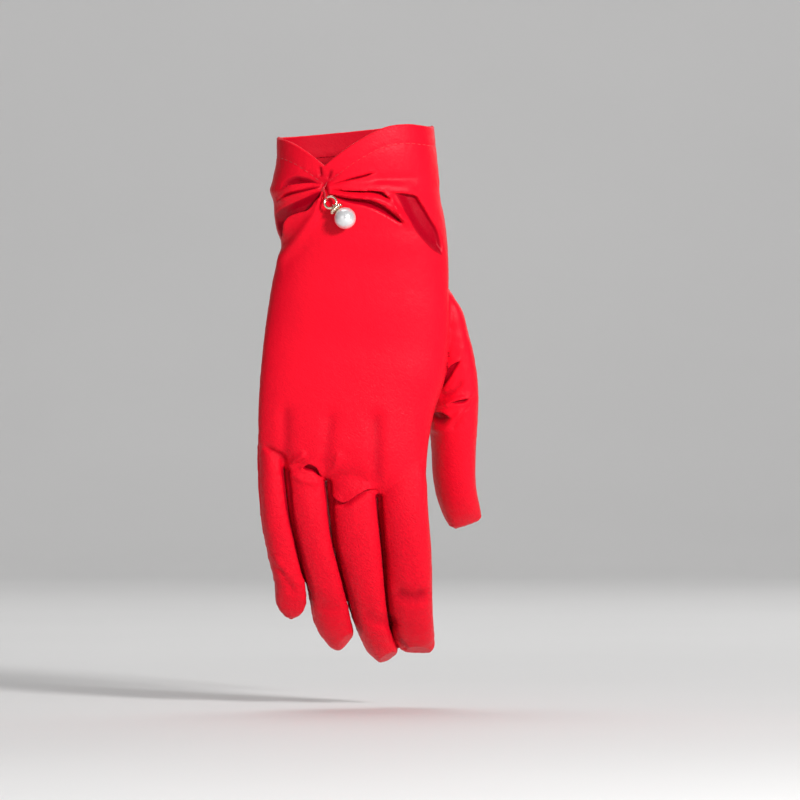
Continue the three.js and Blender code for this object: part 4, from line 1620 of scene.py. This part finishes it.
    def seam_relief(self, skin: Skin) -> tuple[Array, Array]:
        """Works out the grooves at the seams and the puckers beside them.

        Args:
            skin: The smooth skin.

        Returns:
            The grooves, and the puckers.
        """
        base = skin.base
        _, off = self.hand.unbent(base)
        strip = self.strip_value(base)
        thumb = self.thumb.seam_value(base, self.thumb_allowance)
        side = np.where((strip > 0) & (thumb > 0), np.abs(off), 9.0)
        nearest = np.minimum(np.minimum(side, np.abs(strip)), np.abs(thumb))
        groove = -0.6 * np.exp(-((nearest / 0.8) ** 2))
        ripple = relief(base, (2.6, 2.6, 3.2), 11.9)
        pucker = 0.15 * ripple * np.exp(-((nearest / 2.6) ** 2))
        hem = self.below_rim(base) - self.hem_line
        groove += -0.16 * np.exp(-((hem / 0.8) ** 2))
        pucker += 0.12 * relief(base, (1.6, 1.6, 2.4), 1.7) * np.exp(-((hem / 2.2) ** 2))
        return groove, pucker

    def nearest_finger(self, place: Array) -> Array:
        """Says which finger places are nearest to.

        Args:
            place: Places on the skin.

        Returns:
            The number of the finger, from 0 for the little finger.
        """
        owner = np.zeros(len(place), int)
        for left, right in self.gaps:
            owner += self.past_gap(left, right, place) > 0
        return owner

    def past_gap(self, left: FingerForm, right: FingerForm, place: Array) -> Array:
        """Measures places against the middle of the gap between two fingers.

        Args:
            left: The finger on the little finger's side.
            right: The one on the thumb's side.
            place: Places on the skin.

        Returns:
            How far towards the thumb each place lies from the middle, in millimetres.
        """
        _, off = self.hand.unbent(place)
        between = (left.edges.at("right", -place[:, 2]) + right.edges.at("left", -place[:, 2])) / 2
        return place[:, 0] + left.skew * off - between

    def shade_between_fingers(self, place: Array) -> Array:
        """Says how far places are shut in between two fingers, which sets how much shade is painted there.

        Args:
            place: Places on the smooth skin.

        Returns:
            For each place a share from 0 to 1.
        """
        along, _ = self.hand.unbent(place)
        share = np.zeros(len(place))
        for left, right in self.gaps:
            away = np.abs(self.past_gap(left, right, place))
            beyond = smoothstep(along - left.web, -1.0, 3.0)
            beyond = beyond * (1 - smoothstep((along - right.web) / right.length, 0.86, 0.96))
            share = np.maximum(share, (1 - smoothstep(away, 0.5, 1.8)) * beyond)
        return share

    def strip_value(self, base: Array, gap: int | None = None) -> Array:
        """Says how far outside the strips between the fingers places lie, negative on a strip.

        Args:
            base: Places on the smooth skin.
            gap: Which strip, from the little finger, or None for the nearest of all.

        Returns:
            The distance to the strip's edge, in millimetres.
        """
        along, off = self.hand.unbent(base)
        value = np.full(len(base), 9.0)
        for i, (left, right) in enumerate(self.gaps):
            if gap is not None and i != gap:
                continue
            at_left, at_right = (along - left.web) / left.length, (along - right.web) / right.length
            x = base[:, 0] + left.skew * off
            x_left, x_right = left.middle(-base[:, 2]), right.middle(-base[:, 2])
            edge_left, edge_right = left.edges.at("right", -base[:, 2]), right.edges.at("left", -base[:, 2])
            nearer_left = x - edge_left < edge_right - x
            at = np.where(nearer_left, at_left, at_right)
            half = self.gussets.at("half", at) * self.gusset_width
            between = (x > x_left) & (x < x_right) & (at > -0.13)
            value = np.where(between, np.minimum(value, np.abs(off) - half), value)
        return value

    def panels(self) -> dict[str, Skin]:
        """Cuts the skin into its sewn pieces.

        Returns:
            The pieces by name.
        """
        thumb, rest = self.skin.cut(self.thumb.seam_value(self.skin.base, self.thumb_allowance))
        pieces = {"thumb": thumb.largest()}
        for i, (left, right) in enumerate(self.gaps):
            strip, rest = rest.cut(self.strip_value(rest.base, i))
            pieces[f"gusset_{left.name}_{right.name}"] = strip.largest()
        _, off = self.hand.unbent(rest.base)
        back, palm = rest.cut(off)
        pieces["back_panel"] = back.largest()
        pieces["palm_panel"] = palm.largest()
        return pieces

    def build(self, outside: Material, inside: Material) -> list[Piece]:
        """Makes the sewn pieces and lets each stand for its CAD node.

        Args:
            outside: Finish of the outer face.
            inside: Finish of the inner face.

        Returns:
            The pieces.
        """
        made = []
        for name, skin in self.panels().items():
            places, faces, kinds = skin.thickened(0.0, self.cloth)
            heights = np.concatenate([skin.height, skin.height])
            piece = mesh_object(f"{name}_satin", places, faces, [outside, inside], kinds, heights)
            made.append(finished(piece, "satin", name))
        return made


def relaxed(place: Array, edges: Array, rounds: int) -> Array:
    """Evens out a mesh without shrinking it.

    Args:
        place: Vertices.
        edges: Pairs of vertices.
        rounds: How often.

    Returns:
        The new vertices.
    """
    a, b = edges.T
    size = len(place)
    count = np.bincount(np.concatenate([a, b]), minlength=size)[:, None]
    for _ in range(rounds):
        # Each round draws the mesh together and lets it out again.
        for strength in (0.6, -0.63):
            total = [np.bincount(a, place[b, i], size) + np.bincount(b, place[a, i], size) for i in range(3)]
            place = place + strength * (np.column_stack(total) / np.maximum(count, 1) - place)
    return place


def refined(place: Array, faces: Array, wanted: Array) -> Mesh:
    """Halves the edges of triangles.

    Args:
        place: Vertices.
        faces: Triangles.
        wanted: For each vertex whether the edges between it and others like it are halved.

    Returns:
        The new vertices and triangles.
    """
    edges, index = np.unique(np.sort(sides_of(faces), axis=1), axis=0, return_inverse=True)
    split = wanted[edges].all(axis=1)
    number = np.full(len(edges), -1)
    number[split] = len(place) + np.arange(split.sum())
    place = np.vstack([place, place[edges[split]].mean(axis=1)])
    middle = number[index.ravel().reshape(3, -1).T]
    count = (middle >= 0).sum(axis=1)
    parts = [faces[count == 0]]
    for halved in (1, 2, 3):
        f, m = faces[count == halved], middle[count == halved]
        first = np.argmax(m >= 0, axis=1) if halved == 1 else (np.argmin(m >= 0, axis=1) + 1) % 3
        turn = (first[:, None] + np.arange(3)) % 3
        f, m = np.take_along_axis(f, turn, axis=1), np.take_along_axis(m, turn, axis=1)
        (a, b, c), (p, q, r) = f.T, m.T
        if halved == 1:
            parts += [np.column_stack([a, p, c]), np.column_stack([p, b, c])]
        elif halved == 2:
            parts += [np.column_stack([p, b, q]), np.column_stack([a, p, q]), np.column_stack([a, q, c])]
        else:
            parts += [np.column_stack(corners) for corners in ((a, p, r), (p, b, q), (r, q, c), (p, q, r))]
    return place, np.vstack(parts)


def edges_of(faces: Array) -> Array:
    """Lists every edge of some triangles once."""
    return np.unique(np.sort(sides_of(faces), axis=1), axis=0)


def finished(piece: Piece, slot: str, *nodes: str) -> Piece:
    """Fixes a piece to the glove.

    Args:
        piece: The piece.
        slot: What it is made of. Not used.
        *nodes: The CAD nodes that it stands for.

    Returns:
        The same piece.
    """
    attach(piece, "root")
    if nodes:
        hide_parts(*nodes)
    return piece


@dataclass
class CuffHem:
    """The rim's cloth turned inwards and stitched down.

    Attributes:
        glove: The cloth that it is the edge of.
        depth: How far the turned cloth reaches below the rim.
        layer: Thickness of the turned cloth.
        room: Between the two layers.
        stitch: Length of a stitch.
        pitch: From one stitch to the next.
        thread: Thickness of the thread.
    """

    glove: GloveCloth
    depth: float = 8.5
    layer: float = 0.5
    room: float = 0.12
    stitch: float = 1.7
    pitch: float = 2.6
    thread: float = 0.24

    def band(self) -> Skin:
        """Cuts the part of the cloth that lies within the hem's depth of the rim."""
        skin = self.glove.skin
        return skin.cut(self.glove.below_rim(skin.base) - self.depth)[0].largest()

    def fold_edge(self, band: Skin) -> Mesh:
        """Rounds the rim over from the outer layer to the turned one.

        Args:
            band: The hem's cloth.

        Returns:
            Vertices and triangles of the rounded edge.
        """
        rings = band.loops()[:2]
        top = max(rings, key=lambda ring: band.place[ring, 2].mean())
        radius = (self.glove.cloth + self.room + self.layer) / 2
        path = band.place[top] - band.normal[top] * radius
        for _ in range(6):
            path = (path + np.roll(path, 1, axis=0) + np.roll(path, -1, axis=0)) / 3
        path = path[::2] - np.array([0, 0, 0.25])
        return tube_along(path, radius * 0.98, 10, True)

    def stitches(self) -> Mesh:
        """Lays the stitches along the hem's line, on the outside.

        Returns:
            Vertices and triangles of all the stitches.
        """
        skin = self.glove.skin
        edge = skin.cut(self.glove.below_rim(skin.base) - self.glove.hem_line)[0].largest()
        ring = min(edge.loops()[:2], key=lambda r: edge.place[r, 2].mean())
        place, normal = edge.place[ring], edge.normal[ring]
        step = np.linalg.norm(np.roll(place, -1, axis=0) - place, axis=1)
        length = np.concatenate([[0], np.cumsum(step)])
        place = np.vstack([place, place[:1]])
        normal = np.vstack([normal, normal[:1]])
        parts = []
        for start in np.arange(0, length[-1] - self.stitch, self.pitch):
            at = start + np.linspace(0, self.stitch, 6)
            path = np.column_stack([np.interp(at, length, place[:, i]) for i in range(3)])
            out = np.column_stack([np.interp(at, length, normal[:, i]) for i in range(3)])
            bow = np.sin(np.linspace(0, math.pi, 6)) * self.thread * 0.8 - self.thread * 0.45
            path += out * bow[:, None]
            parts.append(tube_along(path, self.thread / 2, 6, False))
        return joined(parts)

    def build(
        self, inside: Material, outside: Material, thread: Material
    ) -> list[Piece]:
        """Makes the turned band with its rounded edge, and the stitches.

        Args:
            inside: Finish of the turned cloth.
            outside: Finish of the rounded edge.
            thread: Finish of the stitches.

        Returns:
            The pieces.
        """
        band = self.band()
        places, faces, _ = band.thickened(self.glove.cloth + self.room, self.layer)
        edge = self.fold_edge(band)
        kinds = np.concatenate([np.zeros(len(faces), int), np.ones(len(edge[1]), int)])
        all_places, all_faces = joined([(places, faces), edge])
        heights = np.zeros(len(all_places))
        hem = mesh_object("cuff_hem_band", all_places, all_faces, [inside, outside], kinds, heights)
        row = mesh_object("cuff_hem_stitches", *self.stitches(), [thread])
        return [finished(hem, "satin_inside", "cuff_hem"), finished(row, "thread")]


# The charm


@dataclass
class Charm:
    """The pearl charm, with its ring, its cap and its thread.

    Attributes:
        glove: The cloth that it hangs on.
        ring_diameter: Outside of the jump ring.
        ring_wire: Thickness of its wire.
        ring_gap: Opening where the wire's ends meet.
        eye_diameter: Outside of the cap's eye.
        eye_wire: Thickness of the eye's wire.
        rondelle_diameter: Across the cap's disc.
        rondelle_thickness: Thickness of the disc.
        beads: Beads round its edge.
        pearl_diameter: Across the pearl.
        pearl_hole: Drilled hole in the pearl.
        thread: Thickness of the thread.
        knot_diameter: Across the knot.
    """

    glove: GloveCloth
    ring_diameter: float = 5.6
    ring_wire: float = 1.0
    ring_gap: float = 0.12
    eye_diameter: float = 2.4
    eye_wire: float = 0.5
    rondelle_diameter: float = 5.2
    rondelle_thickness: float = 1.5
    beads: int = 11
    pearl_diameter: float = 8.2
    pearl_hole: float = 1.3
    thread: float = 0.34
    knot_diameter: float = 1.8

    def __post_init__(self) -> None:
        """Reads the charm's place from the frame."""
        ring, pearl = (np.array(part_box(name)) / MM for name in ("jump_ring", "pearl"))
        self.ring_middle = ring.mean(axis=0)
        self.pearl_middle = pearl.mean(axis=0)
        down = self.pearl_middle - self.ring_middle
        self.drop = float(np.linalg.norm(down))
        up = -down / self.drop
        across = np.cross(np.array([0.0, -1.0, 0.0]), up)
        across /= np.linalg.norm(across)
        self.turn = np.column_stack([across, np.cross(up, across), up])

    def placed(self, places: Array) -> Array:
        """Moves points from the charm's own frame, ring in the middle and pearl below, onto the glove."""
        return places @ self.turn.T + self.ring_middle

    @property
    def reach(self) -> float:
        """From the ring's middle to the middle of its wire."""
        return (self.ring_diameter - self.ring_wire) / 2

    def jump_ring(self) -> Mesh:
        """Bends the ring's wire, with its two cut ends meeting at the upper right.

        Returns:
            Vertices and triangles.
        """
        half = math.asin(self.ring_gap / 2 / self.reach)
        turn = np.linspace(half, 2 * math.pi - half, 96) + math.radians(38)
        path = np.column_stack([self.reach * np.cos(turn), np.zeros(96), self.reach * np.sin(turn)])
        places, faces = tube_along(path, self.ring_wire / 2, 20, False)
        return self.placed(places), faces

    def pearl_cap(self) -> Mesh:
        """Builds the cap: an eye, a disc with a beaded edge, and the peg in the pearl.

        Returns:
            Vertices and triangles.
        """
        middle = -self.reach - self.eye_diameter / 2 + self.eye_wire - 0.45
        top, bottom = middle + self.rondelle_thickness / 2, middle - self.rondelle_thickness / 2
        rim = self.rondelle_diameter / 2
        seat = -self.drop + self.pearl_diameter / 2
        disc = turned(
            [
                (0, top + 0.12), (rim * 0.26, top + 0.12), (rim * 0.34, top + 0.02),
                (rim * 0.66, top), (rim * 0.8, top - 0.1), (rim * 0.86, top - 0.3),
                (rim * 0.86, bottom + 0.3), (rim * 0.8, bottom + 0.1), (rim * 0.6, bottom),
                (rim * 0.34, bottom - 0.02), (rim * 0.3, seat + 0.06), (0.35, seat + 0.05),
                (0.35, seat - 2.4), (0, seat - 2.4),
            ],
            96,
        )
        turn = full_turn(48)
        radius = (self.eye_diameter - self.eye_wire) / 2
        eye = np.column_stack([np.zeros(48), radius * np.cos(turn), radius * np.sin(turn) - self.reach])
        beads = []
        size = 0.5 * self.rondelle_thickness
        arc = [(size * math.sin(math.pi * k / 10), size * math.cos(math.pi * k / 10)) for k in range(11)]
        for i in range(self.beads):
            angle = 2 * math.pi * i / self.beads
            ball, ball_faces = turned(arc, 16)
            ball = ball * np.array([0.86, 0.86, 0.94])
            shift = np.array([rim * 0.83 * math.cos(angle), rim * 0.83 * math.sin(angle), middle])
            beads.append((ball + shift, ball_faces))
        places, faces = joined([disc, tube_along(eye, self.eye_wire / 2, 14, True), *beads])
        return self.placed(places), faces

    def pearl(self) -> Mesh:
        """Builds the pearl with its drilled hole and a softened mouth.

        Returns:
            Vertices and triangles.
        """
        radius, hole = self.pearl_diameter / 2, self.pearl_hole / 2
        first = math.asin((hole + 0.12) / radius)
        profile = [(0, radius - 3.5), (hole, radius - 3.5), (hole, radius * math.cos(first) - 0.15)]
        for i in range(48):
            angle = first + (math.pi - first) * i / 47
            profile.append((radius * math.sin(angle), radius * math.cos(angle)))
        profile[-1] = (0, -radius)
        places, faces = turned(profile, 72)
        return self.placed(places - np.array([0, 0, self.drop])), faces

    def gather_place(self) -> Array:
        """Finds where the gather is sewn.

        Returns:
            The place on the cloth.
        """
        skin = self.glove.skin
        off = np.hypot(skin.place[:, 0] - self.glove.hand.gather_x, skin.place[:, 2] - 0.6)
        return skin.place[np.argmin(off + 50 * (skin.normal[:, 1] > 0))]

    def charm_thread(self) -> Mesh:
        """Winds the knot over the gather and runs the loop of thread through the ring.

        Returns:
            Vertices and triangles.
        """
        at = self.gather_place()
        parts = []
        for i, tilt in enumerate((-0.5, 0.1, 0.65)):
            turn = full_turn(40)
            wide, deep = self.knot_diameter * (0.62 - 0.07 * i), 0.75
            wind = np.column_stack([deep * 0.8 * np.cos(turn), deep * np.sin(turn), wide * np.cos(turn)])
            wind[:, 0] += tilt * 0.5
            wind[:, 2] += tilt * wind[:, 0]
            parts.append(tube_along(wind + at + np.array([0, -0.15, 0]), self.thread / 2, 8, True))
        clear = self.ring_wire / 2 + 0.12 + self.thread / 2
        for side, slack in ((-0.22, 0.0), (0.25, 0.25)):
            bend = [
                (side, -clear, self.reach + clear * 0.7),
                (side * 0.6, -clear * 0.85, self.reach - clear * 0.5),
                (0, 0, self.reach - clear),
                (-side * 0.4, clear * 0.85, self.reach - clear * 0.5),
                (-side * 0.6, clear, self.reach + clear * 0.7),
            ]
            loop = self.placed(np.array(bend))
            start = at + np.array([side * 0.8, -0.5, -0.3])
            ends = at + np.array([-side * 0.8, -0.1, -0.3])
            lead = (start + loop[0]) / 2 + np.array([slack, -0.25, 0])
            back = (ends + loop[-1]) / 2 + np.array([slack, 0.1, 0])
            route = smooth_path(tuple(map(tuple, [start, lead, *loop, back, ends])), 7)
            parts.append(tube_along(route, self.thread / 2, 8, False))
        return joined(parts)

    def build(
        self, gold: Material, pearl: Material, thread: Material
    ) -> list[Piece]:
        """Makes the charm's pieces, each standing for its CAD node.

        Args:
            gold: Finish of the metal.
            pearl: Finish of the pearl.
            thread: Finish of the thread.

        Returns:
            The pieces.
        """
        made = []
        for name, mesh, finish, slot, node in (
            ("charm_thread_wound", self.charm_thread(), thread, "thread", "charm_thread"),
            ("jump_ring_wire", self.jump_ring(), gold, "gold_metal", "jump_ring"),
            ("pearl_cap_beaded", self.pearl_cap(), gold, "gold_metal", "pearl_cap"),
            ("pearl_drilled", self.pearl(), pearl, "pearl", "pearl"),
        ):
            made.append(finished(mesh_object(name, *mesh, [finish]), slot, node))
        return made


# The studio


@dataclass(frozen=True)
class Studio:
    """A plain pale floor, soft light and the camera.

    Attributes:
        floor_z: Height of the floor, in metres.
        floor_size: Side of the floor, in metres.
        sweep_radius: Radius of the bend where the floor turns up, in metres.
        view_centre: What the middle of the picture shows, as (x, z) in metres.
        view_width: Width of the view at the glove, in metres.
        lens: Focal length in millimetres.
        air: Colour of the light from all round.
        air_strength: Strength of that light.
    """

    floor_z: float = -0.2
    floor_size: float = 6.0
    sweep_radius: float = 1.2
    view_centre: tuple[float, float] = (0.0169, -0.080)
    view_width: float = 0.308
    lens: float = 280.0
    air: Colour = (0.86, 0.86, 0.87, 1)
    air_strength: float = 0.13

    def floor(self) -> None:
        """Lays the floor, which sweeps up behind the glove, with a matt, faintly mottled finish."""
        half, bend = self.floor_size / 2, self.sweep_radius
        turn = np.linspace(0, math.pi / 2, 33)
        y = np.concatenate([[-half], half - bend + bend * np.sin(turn), [half]])
        z = self.floor_z + np.concatenate([[0], bend - bend * np.cos(turn), [self.floor_size]])
        count = len(y)
        left = np.column_stack([np.full(count, -half), y, z])
        corners = np.vstack([left, left * np.array([-1, 1, 1])]) / MM
        step = np.arange(count - 1)
        quads = np.column_stack([step, step + count, step + 1 + count, step + 1])
        material, tree, bsdf = shader("pale_floor")
        where = add_node(tree, "TexCoord")
        cloud = add_node(tree, "TexNoise", Scale=3.0, Detail=3.0)
        mixed = add_node(tree, "Mix", data_type="RGBA")
        mixed.inputs[6].default_value = (0.78, 0.775, 0.77, 1)
        mixed.inputs[7].default_value = (0.84, 0.835, 0.83, 1)
        wire(where, "Object", cloud, "Vector")
        wire(cloud, "Fac", mixed, 0)
        wire(mixed, 2, bsdf, "Base Color")
        bsdf.inputs["Roughness"].default_value = 0.75
        floor = mesh_object("floor", corners, quads, [material])

    def lamp(
        self,
        name: str,
        place: tuple[float, float, float],
        size: float,
        power: float,
        target: tuple[float, float, float] = (0.005, 0.0, -0.07),
    ) -> None:
        """Hangs a soft square light.

        Args:
            name: Name of the light.
            place: Where it hangs, in metres.
            size: Side of the light, in metres.
            power: Its power, in watts.
            target: What it faces, by default the glove.
        """
        data = bpy.data.lights.new(name, "AREA")
        data.shape = "SQUARE"
        data.size = size
        data.energy = power
        lamp = bpy.data.objects.new(name, data)
        lamp.location = place
        aim = Vector(target) - lamp.location
        lamp.rotation_euler = aim.to_track_quat("-Z", "Y").to_euler()
        bpy.context.scene.collection.objects.link(lamp)

    def build(self) -> None:
        """Sets up the floor, the lights, the surroundings and the camera."""
        self.floor()
        self.lamp("key_light", (0.88, -1.48, 0.5), 0.3, 37.0)
        self.lamp("fill_light", (-0.9, -1.5, 0.15), 1.0, 3.0)
        self.lamp("top_light", (-0.2, 0.3, 1.5), 1.0, 7.0)
        self.lamp("rear_light", (0.9, 1.1, 0.6), 1.0, 3.0)
        self.lamp("backdrop_light", (0.0, 0.9, 1.6), 1.6, 14.0, (0.0, 3.0, 0.3))
        world = bpy.data.worlds.new("studio")
        world.use_nodes = True
        background = world.node_tree.nodes["Background"]
        background.inputs["Color"].default_value = self.air
        background.inputs["Strength"].default_value = self.air_strength
        scene = bpy.context.scene
        scene.world = world
        scene.view_settings.view_transform = "Standard"
        camera = bpy.data.cameras.new("camera")
        camera.lens = self.lens
        camera.sensor_width = 36.0
        camera.clip_start = 0.01
        eye = bpy.data.objects.new("camera", camera)
        x, z = self.view_centre
        eye.location = (x, -self.view_width * self.lens / camera.sensor_width, z)
        eye.rotation_euler = (math.pi / 2, 0, 0)
        scene.collection.objects.link(eye)
        scene.camera = eye


# The sides of each finger: distance below the gather, left and right.
FINGER_EDGES = {
    "little": (
        (98.0, -37.7, -28.4), (107.8, -37.4, -28.4), (113.9, -37.3, -27.7), (124.9, -36.5, -26.2),
        (135.4, -34.9, -23.8), (144.6, -33.0, -21.7), (152.0, -31.6, -19.7), (156.9, -31.7, -19.4),
        (160.4, -30.9, -20.2), (162.4, -29.3, -22.0), (163.8, -27.1, -24.2),
    ),
    "ring": (
        (98.0, -28.0, -12.7), (107.8, -28.0, -12.7), (113.9, -27.3, -12.2), (124.9, -25.8, -11.1),
        (135.4, -23.4, -9.5), (144.6, -21.3, -7.3), (153.8, -18.8, -4.9), (159.9, -17.9, -3.4),
        (166.1, -16.6, -2.2), (169.7, -15.0, -1.5), (172.5, -13.1, -3.2), (174.9, -11.2, -4.8),
        (176.8, -9.1, -6.4),
    ),
    "middle": (
        (98.0, -12.3, 7.0), (107.8, -12.3, 7.0), (118.2, -11.1, 7.3), (129.2, -10.0, 8.4),
        (141.5, -7.6, 9.6), (153.8, -4.5, 10.4), (163.0, -2.1, 11.6), (169.1, 0.1, 12.8),
        (172.8, 1.6, 14.2), (175.9, 3.2, 15.7), (177.6, 4.5, 15.0), (179.2, 6.1, 13.4), (181.0, 7.2, 11.6),
    ),
    "index": (
        (98.0, 7.4, 27.1), (107.8, 7.4, 27.6), (118.2, 7.7, 26.9), (129.2, 8.8, 27.6), (141.5, 10.0, 28.4),
        (153.8, 10.8, 28.7), (163.0, 12.0, 29.1), (169.1, 13.2, 29.7), (172.8, 14.8, 30.2),
        (174.6, 16.9, 30.5), (175.6, 18.2, 30.0), (177.2, 20.0, 28.0),
    ),
}


def fingers_of(hand: HandForm) -> list[FingerForm]:
    """Stands the four fingers side by side on the hand.

    Args:
        hand: The hand.

    Returns:
        The fingers, from the little finger.
    """
    # Name, width, length and room up to the next finger.
    rows = (
        ("little", 11.8, 65.0, 0.585),
        ("ring", 15.1, 76.0, 0.675),
        ("middle", 17.4, 77.5, 0.9),
        ("index", 19.0, 65.5, 0.0),
    )
    edge = -hand.little_side * hand.width
    fingers = []
    for name, width, length, room in rows:
        table = SectionTable(("below", "left", "right"), FINGER_EDGES[name])
        fingers.append(FingerForm(name, width, length, edge + width / 2, hand, table))
        edge += width + room
    return fingers


def main() -> None:
    """Builds the glove piece by piece and the studio, and logs how many faces each piece has."""
    logging.basicConfig(level=logging.INFO, format="%(name)s: %(message)s")
    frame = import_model()
    log.info("frame holds %d nodes", len(frame["nodes"]))
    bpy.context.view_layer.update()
    satin = SatinFinish().material()
    lining = SatinFinish(
        name="red_satin_inside",
        deep=(0.3, 0.0, 0.01, 1.0),
        face=(0.6, 0.001, 0.014, 1.0),
        roughness=0.6,
        knit_depth=0.8,
    ).material()
    thread = ThreadFinish().material()
    hand = HandForm()
    thumb = ThumbForm(width=16.8, length=92.0, root=0.32 * hand.length, hand=hand)
    glove = GloveCloth(hand, fingers_of(hand), thumb)
    glove.shape()
    pieces = glove.build(satin, lining)
    pieces += CuffHem(glove).build(lining, satin, thread)
    pieces += Charm(glove).build(GoldFinish().material(), PearlFinish().material(), thread)
    for piece in pieces:
        log.info("%s: %d faces", piece.name, len(piece.data.polygons))
    Studio().build()


if __name__ == "__main__":
    main()
